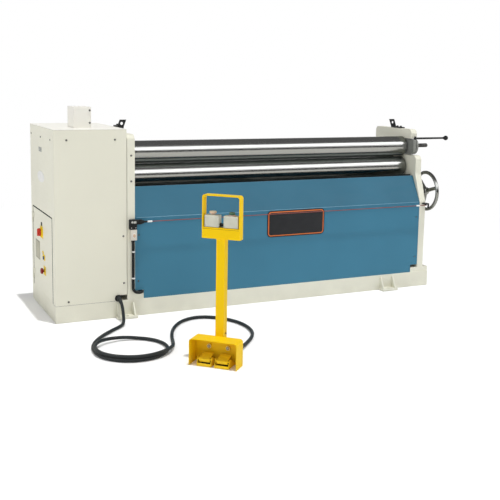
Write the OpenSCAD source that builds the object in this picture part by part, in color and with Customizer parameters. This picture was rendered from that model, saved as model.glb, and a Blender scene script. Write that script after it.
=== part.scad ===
// Plate rolling machine: three rolls between two side frames, a drive and
// electrical cabinet at the left end, and a foot-control stand on its cable.
// Inside the modules X, Y and Z are measured from the cabinet's front, left,
// bottom corner. place() then moves the origin to the middle of the anchor bolts.

/* [Side frames] */
// Distance between the inner faces of the side frames
frame_gap = 1979; // [1500:1:2500]
// Thickness of a side frame plate
frame_t = 45; // [30:1:60]
// Set-back of the frames' front edge from the base
frame_front = 5; // [2:1:20]
// Back edge of the frames
frame_back = 562; // [520:1:620]
// Top of the frames
frame_top = 1047; // [1030:1:1100]
// Drop of the cover strip below the left frame's top
cover_drop = 25; // [10:1:40]
// Height at which the front edge starts to lean back
crease_z = 571; // [480:1:620]
// Height at which the front edge is upright again
waist_z = 755; // [720:1:800]
// Front of the upright edge above the waist
waist_y = 69; // [50:1:90]
// Front of the frame's upper arm
arm_y = 133; // [110:1:145]
// Radius of the frames' rounded corners
frame_r = 30; // [10:1:35]

/* [Rolls] */
// Diameter of the three rolls
roll_d = 130; // [100:1:140]
// Distance of the top and pinch rolls behind the base's front
roll_y = 230; // [215:1:250]
// Height of the top roll's axis
top_z = 930; // [915:1:945]
// Open gap between the top roll and the pinch roll
nip = 6; // [5:0.5:15]
// Distance of the bending roll behind the top roll
bend_dy = 145; // [142:1:165]
// Depth of the bending roll's axis below the top roll
bend_dz = 110; // [95:1:125]
// Diameter of the journals of the pinch and bending rolls
journal_d = 70; // [50:1:80]
// Depth of the journal bores in the side frames
journal_l = 36; // [20:1:40]
// Radial running clearance of shafts in their bores
run_fit = 0.05; // [0.02:0.01:0.09]
// Diameter of the ball that carries the top roll's drive end
ball_d = 100; // [90:1:110]
// Length of the top roll's neck, from the drive side frame to the roll
neck_l = 18; // [16:1:30]
// Diameter of the top roll's neck
neck_d = 72; // [50:1:74]
// Gap between a roll's end and the outer side frame
roll_end_gap = 8; // [7:0.5:15]
// Diameter of the top roll's free journal
top_journal_d = 64; // [40:1:70]
// Diameter of the threaded tail of the top roll
tail_d = 27; // [16:1:34]
// Reach of the tail beyond the side frame
tail_l = 159; // [100:1:200]

/* [Swing bearing] */
// Height of the bearing block
block_h = 101; // [90:1:110]
// Clearance above and below the block in its slot
slot_gap = 5; // [5:0.5:10]
// Front of the bearing block
block_y = 104; // [98:1:110]
// Back of the bearing block
block_back = 292; // [280:1:300]
// Radius of the block's lower front corner
block_r = 40; // [20:1:45]
// Inset of the block's faces from the frame's faces
block_inset = 1.5; // [1:0.5:4]
// Length of the release lever from its pivot to the knob's middle
lever_l = 255; // [200:1:300]
// Diameter of the release lever's rod
lever_d = 12; // [8:1:16]
// Diameter of the release lever's ball knob
lever_knob_d = 29; // [20:1:36]
// Diameter of the release lever's hub
lever_hub_d = 20; // [18:1:22]

/* [Handwheel] */
// Outer diameter of the handwheel
wheel_d = 270; // [200:1:300]
// Diameter of the handwheel's rim
rim_d = 20; // [14:1:24]
// Distance of the handwheel's plane from the side frame
wheel_out = 64; // [45:1:90]
// Distance of the handwheel's axis behind the base's front
wheel_y = 90; // [75:1:110]
// Height of the handwheel's axis
wheel_z = 632; // [600:1:680]
// Diameter of the handwheel's shaft
wheel_shaft_d = 30; // [20:1:36]
// Upward lean of the forward spoke
spoke_turn = 16; // [0:1:30]

/* [Base] */
// Height of the base beams
base_h = 97; // [85:1:110]
// Depth of the base and of the cabinet
base_d = 630; // [600:1:700]
// Reach of the base beyond the outer side frame
base_over = 39; // [20:1:60]
// Width of a base beam
beam_w = 70; // [50:1:90]
// Wall of the base beams
beam_t = 6; // [4:0.5:10]
// Height of the pads under the side frames
pad_h = 31; // [20:1:40]
// Reach of the pads inside the side frames
pad_in = 53; // [30:1:80]
// Width of an anchor foot
foot_w = 115; // [90:1:140]
// Reach of an anchor foot from the base
foot_l = 55; // [45:1:80]
// Thickness of an anchor foot
foot_t = 12; // [8:1:20]
// Diameter of the anchor bolt holes
foot_hole_d = 22; // [14:1:26]
// Distance of a hole from the base's face
foot_hole_y = 30; // [20:1:32]
// Height of the gussets on an anchor foot
gusset_h = 73; // [40:1:80]
// Thickness of the gussets
gusset_t = 8; // [5:1:12]
// Middle of the feet at the cabinet end
foot_left_x = 400; // [300:1:500]
// Middle of the feet at the free end
foot_right_x = 2188; // [2000:1:2300]

/* [Panels] */
// Thickness of the blue panels
panel_t = 3; // [2:0.5:5]
// Gap between a panel and the side frames
panel_gap = 2; // [1:0.5:5]
// Height of the front panel's top edge
panel_top = 740; // [700:1:745]
// Set-back of the front panel's top edge
panel_top_y = 95; // [70:1:110]
// Depth of the flange along a panel's top edge
panel_flange = 25; // [10:1:40]
// Height of the notches in the panels' lower corners
notch_h = 50; // [48:1:60]
// Height of the rear panel's top edge
rear_top = 690; // [600:1:720]
// Size of the square beam between the side frames
tie_w = 100; // [60:1:140]

/* [Cabinet] */
// Width of the cabinet
cabinet_w = 409; // [350:1:500]
// Height of the cabinet with its lid
cabinet_h = 1078; // [1000:1:1200]
// Thickness of the cabinet's covers
sheet = 3; // [2:0.5:4]
// Gap between the cabinet and the side frame
cabinet_gap = 3; // [2:1:10]
// Height of the cable opening in the front cover
outlet_h = 32; // [26:1:45]
// Width of the cable opening in the front cover
outlet_w = 67; // [50:1:80]
// Width of the guard box on the lid
guard_w = 98; // [80:1:120]
// Depth of the guard box
guard_d = 150; // [120:1:180]
// Height of the guard box
guard_h = 118; // [90:1:140]
// Place of the guard box from the cabinet's left side
guard_x = 145; // [100:1:200]
// Place of the guard box from the cabinet's front
guard_y = 130; // [90:1:200]

/* [Electrical door] */
// Front edge of the door opening
door_y = 62; // [40:1:90]
// Width of the cover strip behind the door opening
door_margin = 45; // [40:1:80]
// Height of the door opening
door_h = 488; // [450:1:550]
// Gap round the door
door_gap = 6; // [5:0.5:8]
// Thickness of the door
door_t = 20; // [14:1:30]
// Depth of the electrical compartment
box_depth = 210; // [160:1:260]
// Diameter of the door hinges' barrels
barrel_d = 7.4; // [6:0.2:7.6]
// Diameter of the door hinges' pins
hinge_pin_d = 4; // [3:0.5:5]
// Length of each door hinge
hinge_l = 60; // [40:1:90]
// Distance of the main switch from the door opening's front edge
switch_in = 278; // [200:1:320]
// Depth of the main switch below the top of the door opening
switch_drop = 125; // [80:1:180]
// Size of the main switch's square plate
switch_w = 70; // [50:1:80]
// Reach of the main switch's handle
switch_out = 31; // [25:1:45]
// Distance of the emergency stop from the door opening's front edge
stop_in = 208; // [160:1:260]
// Height of the emergency stop above the door's lower edge
stop_up = 147; // [100:1:200]
// Size of the emergency stop's square plate
stop_w = 52; // [48:1:70]
// Diameter of the emergency stop's head
stop_d = 40; // [30:1:48]
// Reach of the emergency stop's head
stop_out = 31; // [30:1:50]
// Travel of the emergency stop
stop_travel = 5; // [3:0.5:7]

/* [Trip wire] */
// Height of the trip wire
wire_z = 550; // [530:1:560]
// Distance of the trip wire in front of the base
wire_out = 14; // [12:1:25]
// Diameter of the trip wire
wire_d = 5; // [3:0.5:6]
// Diameter of the switch conduit
conduit_d = 16; // [12:1:18]

/* [Foot-control stand] */
// Place of the hood's front middle from the cabinet's left side
stand_x = 520; // [400:1:700]
// Distance of the hood's front middle before the base
stand_y = 1008; // [900:1:1200]
// Turn of the stand about its post
stand_turn = -45; // [-50:1:-40]
// Width of the hood
hood_w = 246; // [230:1:300]
// Depth of the hood
hood_d = 88; // [80:1:120]
// Height of the hood
hood_h = 132; // [110:1:160]
// Thickness of the hood's sheet
hood_t = 3; // [2:0.5:4]
// Radius of the hood's rounded corners
hood_r = 16; // [8:1:24]
// Width of the square post
post_w = 43; // [30:1:50]
// Wall of the square post
post_t = 3; // [2:0.5:4]
// Height of the control bracket's lower edge
bracket_z = 610; // [500:1:700]
// Width of the control bracket
bracket_w = 196; // [190:1:230]
// Height of the control bracket
bracket_h = 212; // [180:1:260]
// Depth of the control bracket
bracket_d = 40; // [40:1:70]
// Thickness of the bracket's strip
strip_t = 6; // [4:0.5:8]
// Height of the bracket's apron
apron_h = 54; // [40:1:70]
// Width of a control box
control_w = 74; // [60:1:76]
// Height of a control box
control_h = 59; // [55:1:80]
// Depth of a control box
control_d = 38; // [37:1:39]
// Gap between the control boxes
control_gap = 24; // [16:1:28]
// Diameter of a push button
button_d = 30; // [24:1:30]
// Travel of a push button
button_travel = 4; // [3:0.5:5]
// Width of a pedal
pedal_w = 56; // [50:1:72]
// Length of a pedal
pedal_l = 56; // [50:1:60]
// Rise of a pedal towards the back
pedal_rise = 17; // [14:1:20]
// Distance of a pedal's middle from the hood's middle
pedal_x = 46; // [44:1:54]

/* [Control cable] */
// Diameter of the control cable
cable_d = 18; // [12:1:18]
// Radius of the loop that lies on the floor
loop_r = 185; // [160:1:200]

/* [Hidden] */
$fn = 64;

eps = 0.01;
cream = [0.88, 0.87, 0.81];
blue = [0.27, 0.47, 0.57];
yellow = [0.96, 0.79, 0.08];
steel = [0.72, 0.73, 0.74];
black = [0.12, 0.12, 0.13];

// Places along the machine
left_out = cabinet_w + cabinet_gap;
left_in = left_out + frame_t;
right_in = left_in + frame_gap;
right_out = right_in + frame_t;
base_l = right_out + base_over;
frame_z = base_h + pad_h;
anchor_x = (foot_left_x + foot_right_x) / 2;
anchor_y = base_d / 2;

// Rolls, slot and swing bearing
roll_r = roll_d / 2;
pinch_z = top_z - roll_d - nip;
bend_y = roll_y + bend_dy;
bend_z = top_z - bend_dz;
ball_x = left_out + frame_t / 2;
block_low = top_z - block_h / 2;
slot_low = block_low - slot_gap;
slot_high = slot_low + block_h + 2 * slot_gap;
slot_back = block_back + slot_gap;
tail_wall = 9;
lever_y = arm_y - 6 - lever_hub_d / 2;
lever_x = right_in + frame_t / 2;
lever_hub_h = lever_d + 2;

// Door and what it carries
door_low = base_h + 1;
door_top = door_low + door_h;
door_back = base_d - door_margin;
hinge_x = -barrel_d / 2 - 0.3;
hinge_y = door_back - door_gap / 2;
switch_y = door_y + switch_in;
switch_z = door_top - switch_drop;
stop_y = door_y + stop_in;
stop_z = door_low + stop_up;
plate_t = 2;

// Stand
stand_mid_y = hood_d + post_w / 2;
bracket_y = stand_mid_y - bracket_d / 2;
control_z = bracket_z + apron_h;
button_seat = control_z + control_h;
pedal_hinge_y = 16;
pedal_hinge_z = 34;
pedal_pin_d = 8;

function turned(p) = [p[0] * cos(stand_turn) - p[1] * sin(stand_turn),
                      p[0] * sin(stand_turn) + p[1] * cos(stand_turn)];
function on_stand(x, y, z) = concat([stand_x, -stand_y] + turned([x, y]), z);

module place() {
    translate([-anchor_x, -anchor_y, 0]) children();
}

module place_on_stand() {
    place() translate([stand_x, -stand_y, 0]) rotate([0, 0, stand_turn]) children();
}

module block(low, high) {
    translate(low) cube(high - low);
}

// A cylinder along X from x0 to x1
module bar_x(x0, x1, y, z, d) {
    translate([x0, y, z]) rotate([0, 90, 0]) cylinder(h = x1 - x0, d = d);
}

// A cylinder along Y from y0 to y1
module bar_y(y0, y1, x, z, d) {
    translate([x, y0, z]) rotate([-90, 0, 0]) cylinder(h = y1 - y0, d = d);
}

// A profile drawn in Y and Z, carried along X from x0 to x1
module along_x(x0, x1) {
    translate([x0, 0, 0]) rotate([90, 0, 90]) linear_extrude(x1 - x0) children();
}

// The waste at a sharp corner that is rounded to radius r. turn is 0, 90, 180
// or 270: the solid lies in the first, second, third or fourth quadrant from it.
module corner_waste(y, z, turn, r) {
    translate([y, z]) rotate(turn) difference() {
        translate([-1, -1]) square(r + 1);
        translate([r, r]) circle(r);
    }
}

// Base ---------------------------------------------------------------

module tube_x(x0, x1, y0, y1) {
    difference() {
        block([x0, y0, 0], [x1, y1, base_h]);
        block([x0 + beam_t, y0 + beam_t, beam_t], [x1 - beam_t, y1 - beam_t, base_h - beam_t]);
    }
}

module frame_pad(x0, x1) {
    block([x0, frame_front, base_h], [x1, frame_back, frame_z]);
}

module base_frame() {
    cross_y0 = beam_w;
    cross_y1 = base_d - beam_w;
    color(cream) place() {
        tube_x(0, base_l, 0, beam_w);
        tube_x(0, base_l, base_d - beam_w, base_d);
        for (x = [0, left_out, (left_out + right_in) / 2, base_l - 2 * beam_w])
            tube_x(x, x + 2 * beam_w, cross_y0, cross_y1);
        frame_pad(left_out, left_in + pad_in);
        frame_pad(right_in - pad_in, base_l);
    }
}

// One foot, reaching out along -Y from the line Y = 0
module anchor_foot() {
    difference() {
        block([-foot_w / 2, -foot_l, 0], [foot_w / 2, 0, foot_t]);
        translate([0, -foot_hole_y, -1]) cylinder(h = foot_t + 2, d = foot_hole_d);
    }
    for (x = [-foot_w / 2 + gusset_t, foot_w / 2 - 2 * gusset_t])
        translate([x, 0, foot_t]) along_x(0, gusset_t)
            polygon([[0, 0], [0, gusset_h], [-gusset_t, gusset_h], [-foot_l + gusset_t, 0]]);
}

module anchor_feet() {
    color(cream) place() for (x = [foot_left_x, foot_right_x]) {
        translate([x, 0, 0]) anchor_foot();
        translate([x, base_d, 0]) mirror([0, 1, 0]) anchor_foot();
    }
}

// Side frames --------------------------------------------------------

module frame_outline() {
    difference() {
        polygon([
            [frame_front, frame_z], [frame_front, crease_z], [waist_y, waist_z],
            [waist_y, slot_low], [arm_y, slot_low], [arm_y, frame_top],
            [frame_back, frame_top], [frame_back, frame_z]
        ]);
        corner_waste(waist_y, slot_low, 270, frame_r);
        corner_waste(arm_y, frame_top, 270, frame_r);
        corner_waste(frame_back, frame_top, 180, frame_r);
    }
}

// Blind bores for the journals, open towards +X from x = 0
module journal_bores() {
    for (p = [[roll_y, pinch_z], [bend_y, bend_z]])
        bar_x(-journal_l, eps, p[0], p[1], journal_d + 2 * run_fit);
}

// The drive side's frame has no slot, so its front edge runs straight up
module left_outline() {
    difference() {
        translate([frame_front, frame_z]) square([frame_back - frame_front, frame_top - frame_z]);
        corner_waste(frame_front, frame_top, 270, frame_r);
        corner_waste(frame_back, frame_top, 180, frame_r);
    }
}

module left_side_frame() {
    color(cream) place() difference() {
        along_x(left_out, left_in) left_outline();
        bar_x(left_out - 1, left_in + 1, roll_y, top_z, ball_d + 2 * run_fit);
        translate([left_in, 0, 0]) journal_bores();
    }
}

module right_side_frame() {
    shaft_seat = frame_t * 0.7;
    color(cream) place() difference() {
        along_x(right_in, right_out) frame_outline();
        block([right_in - 1, waist_y, slot_low], [right_out + 1, slot_back, slot_high]);
        translate([right_in, 0, 0]) mirror([1, 0, 0]) journal_bores();
        bar_x(right_out - shaft_seat, right_out + 1, wheel_y, wheel_z,
              wheel_shaft_d + 2 * run_fit);
    }
}

module left_frame_cover() {
    color(cream) place()
        block([left_out, 0, base_h], [left_in, frame_front, frame_top - cover_drop]);
}

module tie_beam() {
    y0 = frame_back - 2 * tie_w;
    z0 = crease_z - 2 * tie_w;
    color(cream) place() difference() {
        block([left_in, y0, z0], [right_in, y0 + tie_w, z0 + tie_w]);
        block([left_in - 1, y0 + beam_t, z0 + beam_t],
              [right_in + 1, y0 + tie_w - beam_t, z0 + tie_w - beam_t]);
    }
}

// Panels -------------------------------------------------------------

module panel_notches(y0, y1) {
    block([left_in, y0, 0], [left_in + pad_in + panel_gap, y1, base_h + notch_h]);
    block([right_in - pad_in - panel_gap, y0, 0], [right_in, y1, base_h + notch_h]);
}

module front_panel() {
    y = frame_front;
    t = panel_t;
    color(blue) place() difference() {
        along_x(left_in + panel_gap, right_in - panel_gap) polygon([
            [y, base_h], [y, crease_z], [panel_top_y, panel_top],
            [panel_top_y + panel_flange, panel_top],
            [panel_top_y + panel_flange, panel_top - t], [panel_top_y + t, panel_top - t],
            [y + t, crease_z - t], [y + t, base_h]
        ]);
        panel_notches(0, beam_w);
    }
}

module rear_panel() {
    y = frame_back;
    t = panel_t;
    top_y = y - (panel_top_y - frame_front);
    color(blue) place() difference() {
        along_x(left_in + panel_gap, right_in - panel_gap) polygon([
            [y, base_h], [y, crease_z - 40], [top_y, rear_top],
            [top_y - panel_flange, rear_top], [top_y - panel_flange, rear_top - t],
            [top_y - t, rear_top - t], [y - t, crease_z - 40 - t], [y - t, base_h]
        ]);
        panel_notches(y - beam_w, y + 1);
    }
}

// Rolls --------------------------------------------------------------

module plain_roll(y, z, reach) {
    bar_x(left_in + reach, right_in - roll_end_gap, y, z, roll_d);
    bar_x(left_in - journal_l + 1, left_in + reach + 1, y, z, journal_d);
    bar_x(right_in - roll_end_gap - 1, right_in + journal_l - 1, y, z, journal_d);
}

module top_roll() {
    journal_end = right_out - block_inset - tail_wall;
    ball_half = frame_t / 2 - 1.5;
    color(steel) place() {
        translate([ball_x, roll_y, top_z]) rotate([0, 90, 0]) rotate_extrude() intersection() {
            circle(d = ball_d);
            translate([0, -ball_half]) square([ball_d, 2 * ball_half]);
        }
        bar_x(ball_x, left_in + neck_l + 1, roll_y, top_z, neck_d);
        bar_x(left_in + neck_l, right_in - roll_end_gap, roll_y, top_z, roll_d);
        bar_x(right_in - roll_end_gap - 1, journal_end - 1, roll_y, top_z, top_journal_d);
        bar_x(journal_end - 2, right_out + tail_l, roll_y, top_z, tail_d);
    }
}

module pinch_roll() {
    color(steel) place() plain_roll(roll_y, pinch_z, roll_end_gap);
}

module bending_roll() {
    color(steel) place() plain_roll(bend_y, bend_z, roll_end_gap);
}

module swing_bearing_block() {
    low = block_low;
    high = block_low + block_h;
    top_r = 10;
    x0 = right_in + block_inset;
    x1 = right_out - block_inset;
    color([0.45, 0.46, 0.45]) place() difference() {
        along_x(x0, x1) difference() {
            translate([block_y, low]) square([block_back - block_y, block_h]);
            corner_waste(block_y, low, 0, block_r);
            corner_waste(block_y, high, 270, top_r);
        }
        bar_x(x0 - 1, x1 - tail_wall, roll_y, top_z, top_journal_d + 2 * run_fit);
        bar_x(x0, x1 + 1, roll_y, top_z, tail_d + 2 * run_fit);
    }
}

module release_lever() {
    z0 = block_low + block_h;
    color(black) place() {
        translate([lever_x, lever_y, z0]) cylinder(h = lever_hub_h, d = lever_hub_d);
        bar_x(lever_x, lever_x + lever_l, lever_y, z0 + lever_hub_h / 2, lever_d);
        translate([lever_x + lever_l, lever_y, z0 + lever_hub_h / 2])
            sphere(d = lever_knob_d);
    }
}

// Lifting lugs: a flat foot along Y and an upright plate that leans inwards
lug_w = 38;
lug_t = 8;
lug_up = 58;
lug_foot = 107;
left_lug_up = 43;
left_lug_foot = 82;
lug_hole_d = 18;
lug_hole_drop = 22;
lug_lean = 20;

// turn is 1 for a plate at the back of its foot and -1 for one at the front.
// rise is the plate's height and foot the foot's length
module lifting_lug(turn, lean, rise, foot) {
    hole_z = rise - lug_hole_drop;
    block([-lug_w / 2, turn > 0 ? -foot : 0, 0], [lug_w / 2, turn > 0 ? 0 : foot, lug_t]);
    difference() {
        translate([0, turn > 0 ? -lug_t : 0, 0]) rotate([90, 0, 0]) translate([0, 0, -lug_t])
            linear_extrude(lug_t) polygon([
                [-lug_w / 2, 0], [lug_w / 2, 0],
                [lug_w / 2 + rise * tan(lean), rise],
                [-lug_w / 2 + rise * tan(lean), rise]
            ]);
        bar_y(-2 * lug_t, 2 * lug_t, hole_z * tan(lean), hole_z, lug_hole_d);
    }
}

left_lug_pad = 30;
left_lug_y = 200;
right_lug_y = 377;

module lifting_lugs() {
    x = (left_out + left_in) / 2;
    color(black) place() {
        block([x - lug_w / 2, left_lug_y, frame_top],
              [x + lug_w / 2, left_lug_y + left_lug_foot, frame_top + left_lug_pad]);
        translate([x, left_lug_y, frame_top + left_lug_pad])
            lifting_lug(-1, lug_lean, left_lug_up, left_lug_foot);
        translate([(right_in + right_out) / 2, right_lug_y, frame_top])
            lifting_lug(1, -lug_lean, lug_up, lug_foot);
    }
}

// Handwheel ----------------------------------------------------------

module handwheel() {
    ring_r = (wheel_d - rim_d) / 2;
    hub_d = wheel_shaft_d + 18;
    spoke_d = 14;
    color(steel) place() {
        translate([right_out + wheel_out, wheel_y, wheel_z]) {
            rotate([0, 90, 0]) rotate_extrude() translate([ring_r, 0]) circle(d = rim_d);
            for (k = [0:2]) rotate([90 - spoke_turn + 120 * k, 0, 0])
                translate([0, 0, hub_d * 0.4])
                    cylinder(h = ring_r - rim_d * 0.2 - hub_d * 0.4, d = spoke_d);
        }
        bar_x(right_out + wheel_out - 22, right_out + wheel_out + 16, wheel_y, wheel_z, hub_d);
        bar_x(right_out - frame_t * 0.6, right_out + wheel_out, wheel_y, wheel_z, wheel_shaft_d);
    }
}

module handwheel_bearing() {
    color(cream) place() difference() {
        union() {
            bar_x(right_out, right_out + 10, wheel_y, wheel_z, wheel_shaft_d + 46);
            bar_x(right_out, right_out + 24, wheel_y, wheel_z, wheel_shaft_d + 22);
        }
        bar_x(right_out - 1, right_out + 30, wheel_y, wheel_z, wheel_shaft_d + 2 * run_fit);
    }
}

// Cabinet ------------------------------------------------------------

wall_top = cabinet_h - sheet;

module cabinet_front_cover() {
    color(cream) place() difference() {
        block([0, 0, base_h], [cabinet_w, 20, wall_top]);
        block([sheet, sheet, base_h + sheet], [cabinet_w - sheet, 21, wall_top + 1]);
        block([cabinet_w - outlet_w, -1, base_h - 1], [cabinet_w + 1, 21, base_h + outlet_h]);
    }
}

module cabinet_side_cover() {
    color(cream) place() difference() {
        block([0, 20, base_h], [20, base_d - sheet, wall_top]);
        block([sheet, 19, base_h + sheet], [21, base_d, wall_top + 1]);
        block([-1, door_y, base_h - 1], [21, door_back, door_top]);
    }
}

module cabinet_back_cover() {
    color(cream) place() difference() {
        block([0, base_d - sheet, base_h], [cabinet_w, base_d, wall_top]);
        block([cabinet_w - outlet_w, base_d - sheet - 1, base_h - 1],
              [cabinet_w + 1, base_d + 1, base_h + outlet_h]);
    }
}

module cabinet_lid() {
    color(cream) place() block([0, 0, wall_top], [cabinet_w, base_d, cabinet_h]);
}

module guard_box() {
    z = cabinet_h;
    color(cream) place() difference() {
        block([guard_x, guard_y, z], [guard_x + guard_w, guard_y + guard_d, z + guard_h]);
        block([guard_x + sheet, guard_y + sheet, z - 1],
              [guard_x + guard_w - sheet, guard_y + guard_d - sheet, z + guard_h - sheet]);
    }
}

module electrical_box() {
    x0 = 20 + 0.3;
    color(cream) place() difference() {
        block([x0, door_y - 12, base_h], [x0 + box_depth, door_back + 12, door_top + 12]);
        block([x0 - 1, door_y - 12 + sheet, base_h + sheet],
              [x0 + box_depth - sheet, door_back + 12 - sheet, door_top + 12 - sheet]);
    }
}

module mounting_plate() {
    x1 = 20.3 + box_depth - sheet;
    color(steel) place() block([x1 - 12, door_y + 20, base_h + 40], [x1, door_back - 20, door_top - 20]);
}

// Electrical door ----------------------------------------------------

module electrical_door() {
    y0 = door_y + door_gap;
    y1 = door_back - door_gap;
    z1 = door_top - door_gap;
    color(cream) place() {
        difference() {
            block([0, y0, door_low], [door_t, y1, z1]);
            block([sheet, y0 + sheet, door_low + sheet], [door_t + 1, y1 - sheet, z1 - sheet]);
            bar_x(-1, sheet + 1, stop_y, stop_z, stop_stem_d + 2 * run_fit);
        }
        for (z = hinge_heights) difference() {
            union() {
                translate([hinge_x, hinge_y, z + 0.3]) cylinder(h = hinge_l / 2 - 0.3, d = barrel_d);
                block([hinge_x, y1 - 18, z + 0.3], [0, hinge_y, z + hinge_l / 2]);
            }
            translate([hinge_x, hinge_y, z - 1])
                cylinder(h = hinge_l / 2 + 2, d = hinge_pin_d + 2 * run_fit);
        }
    }
}

hinge_heights = [door_low + 70, door_top - 70];

module door_hinges() {
    color(steel) place() for (z = hinge_heights) {
        translate([hinge_x, hinge_y, z - hinge_l / 2]) cylinder(h = hinge_l / 2, d = barrel_d);
        translate([hinge_x, hinge_y, z - 1]) cylinder(h = hinge_l / 2, d = hinge_pin_d);
        block([hinge_x, hinge_y, z - hinge_l / 2], [0, door_back + 18, z]);
    }
}

switch_seat = 6;

// The square plates behind the main switch and the emergency stop
module door_plates() {
    w = switch_w / 2;
    v = stop_w / 2;
    boss_l = 3;
    color(yellow) place() {
        block([-plate_t, switch_y - w, switch_z - w], [0, switch_y + w, switch_z + w]);
        difference() {
            bar_x(-plate_t - switch_seat, -plate_t, switch_y, switch_z, switch_w * 0.9);
            bar_x(-plate_t - switch_seat - 1, -plate_t, switch_y, switch_z,
                  switch_pin_d + 2 * run_fit);
        }
        difference() {
            union() {
                block([-plate_t, stop_y - v, stop_z - v], [0, stop_y + v, stop_z + v]);
                bar_x(-plate_t - boss_l, -plate_t, stop_y, stop_z, stop_d * 0.75);
            }
            bar_x(-plate_t - boss_l - 1, 1, stop_y, stop_z, stop_stem_d + 2 * run_fit);
        }
    }
}

switch_pin_d = 10;

module main_switch_handle() {
    x1 = -plate_t - switch_seat - 0.3;
    color([0.75, 0.08, 0.05]) place() {
        bar_x(x1 - 8, x1, switch_y, switch_z, switch_w * 0.84);
        bar_x(x1 - 1, -plate_t - 0.5, switch_y, switch_z, switch_pin_d);
        block([-switch_out, switch_y - 8, switch_z - switch_w * 0.4],
              [x1 - 1, switch_y + 8, switch_z + switch_w * 0.4]);
    }
}

label_w = 118;
label_h = 112;
label_up = 184;
label_in = 69;

module door_label_plate() {
    y1 = door_back - label_in;
    z0 = door_low + label_up;
    color(steel) place() block([-1, y1 - label_w, z0], [0, y1, z0 + label_h]);
}

module door_buttons() {
    color(yellow) place() for (p = [[252, 237], [212, 222]]) {
        bar_x(-3, 0, door_y + p[0], door_low + p[1], 30);
        bar_x(-9, -2, door_y + p[0], door_low + p[1], 20);
    }
}

stop_stem_d = 14;

module emergency_stop_head() {
    head_h = 16;
    color([0.78, 0.06, 0.05]) place() {
        bar_x(-stop_out, -stop_out + head_h, stop_y, stop_z, stop_d);
        bar_x(-stop_out + head_h - 1, sheet + 6, stop_y, stop_z, stop_stem_d);
    }
}

// Trip wire ----------------------------------------------------------

trip_x = left_out + 8;
trip_front = -(wire_out * 2);
trip_w = 42;
trip_drop = 41;
trip_rise = 16;
trip_box_h = 62;
trip_nose_d = 30;
trip_nose_l = 43;
trip_tip_d = 12;
trip_tip_l = 19;
trip_low = wire_z - trip_drop;

module trip_switch_head() {
    nose_x = trip_x + trip_w + trip_nose_l;
    color(black) place() {
        block([trip_x, trip_front, trip_low], [trip_x + trip_w, 0, wire_z + trip_rise]);
        bar_x(trip_x + trip_w - 2, nose_x, -wire_out, wire_z, trip_nose_d);
        bar_x(nose_x - 1, nose_x + trip_tip_l, -wire_out, wire_z, trip_tip_d);
    }
}

module trip_switch_box() {
    button_z = trip_low - trip_box_h * 0.55;
    color(cream) place() {
        block([trip_x + 6, trip_front, trip_low - trip_box_h], [trip_x + trip_w, 0, trip_low]);
        bar_y(trip_front - 8, trip_front + 1, conduit_x, button_z, 20);
    }
}

wire_x0 = trip_x + trip_w + trip_nose_l + trip_tip_l;
corner_x = right_out + 5;
corner_r = 14;
corner_drop = 20;
corner_strip = 10;
eye_y = frame_back - 34;
eye_l = 14;
eye_deep = 10;

module trip_wire() {
    y = -wire_out;
    color([0.55, 0.28, 0.26]) place() {
        bar_x(wire_x0, corner_x - corner_r, y, wire_z, wire_d);
        translate([corner_x - corner_r, y + corner_r, wire_z])
            rotate([0, 0, -90]) rotate_extrude(angle = 90) translate([corner_r, 0]) circle(d = wire_d);
        bar_y(y + corner_r, eye_y + eye_deep, corner_x, wire_z, wire_d);
    }
}

module wire_brackets() {
    y = -wire_out;
    color(black) place() {
        block([right_out - 2.6 * corner_strip, y - 12, wire_z + 6],
              [corner_x + corner_strip / 2, frame_front, wire_z + 14]);
        block([corner_x - corner_strip / 2, y - 12, wire_z - corner_drop],
              [corner_x + corner_strip / 2, y - 6, wire_z + 7]);
        difference() {
            block([right_out, eye_y, wire_z - eye_l], [corner_x + 9, eye_y + eye_l, wire_z + eye_l]);
            bar_y(eye_y - 1, eye_y + eye_deep, corner_x, wire_z, wire_d + 2 * run_fit);
        }
    }
}

conduit_x = trip_x + 24;
conduit_y = -conduit_d / 2 - 1;
conduit_z = frame_z + 1 + conduit_d / 2;
bend_r = 30;

module switch_conduit() {
    d = conduit_d;
    z1 = trip_low - trip_box_h;
    exit_x = left_in + pad_in - d / 2 - 2;
    turn_r = 20;
    color(black) place() {
        translate([conduit_x, conduit_y, conduit_z + bend_r])
            cylinder(h = z1 - conduit_z - bend_r, d = d);
        translate([conduit_x + bend_r, conduit_y, conduit_z + bend_r])
            rotate([90, 0, 0]) rotate([0, 0, 180]) rotate_extrude(angle = 90)
                translate([bend_r, 0]) circle(d = d);
        bar_x(conduit_x + bend_r, exit_x - turn_r, conduit_y, conduit_z, d);
        translate([exit_x - turn_r, conduit_y + turn_r, conduit_z])
            rotate([0, 0, -90]) rotate_extrude(angle = 90) translate([turn_r, 0]) circle(d = d);
        bar_y(conduit_y + turn_r, beam_w, exit_x, conduit_z, d);
    }
}

clip_up = 92;
clip_pitch = 155;
clip_h = 8;

module conduit_clips() {
    half = conduit_d / 2 + 4;
    color([0.9, 0.9, 0.88]) place() for (z = [frame_z + clip_up, frame_z + clip_up + clip_pitch])
        difference() {
            block([conduit_x - half, conduit_y - half + 2, z], [conduit_x + half, 0, z + clip_h]);
            translate([conduit_x, conduit_y, z - 1])
                cylinder(h = clip_h + 2, d = conduit_d + 2 * run_fit);
        }
}

// Foot-control stand -------------------------------------------------

module hood_outline(inset) {
    w = hood_w / 2 - inset;
    h = hood_h - inset;
    r = hood_r - inset;
    difference() {
        translate([-w, 0]) square([2 * w, h]);
        corner_waste(-w, h, 270, r);
        corner_waste(w, h, 180, r);
    }
}

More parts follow.
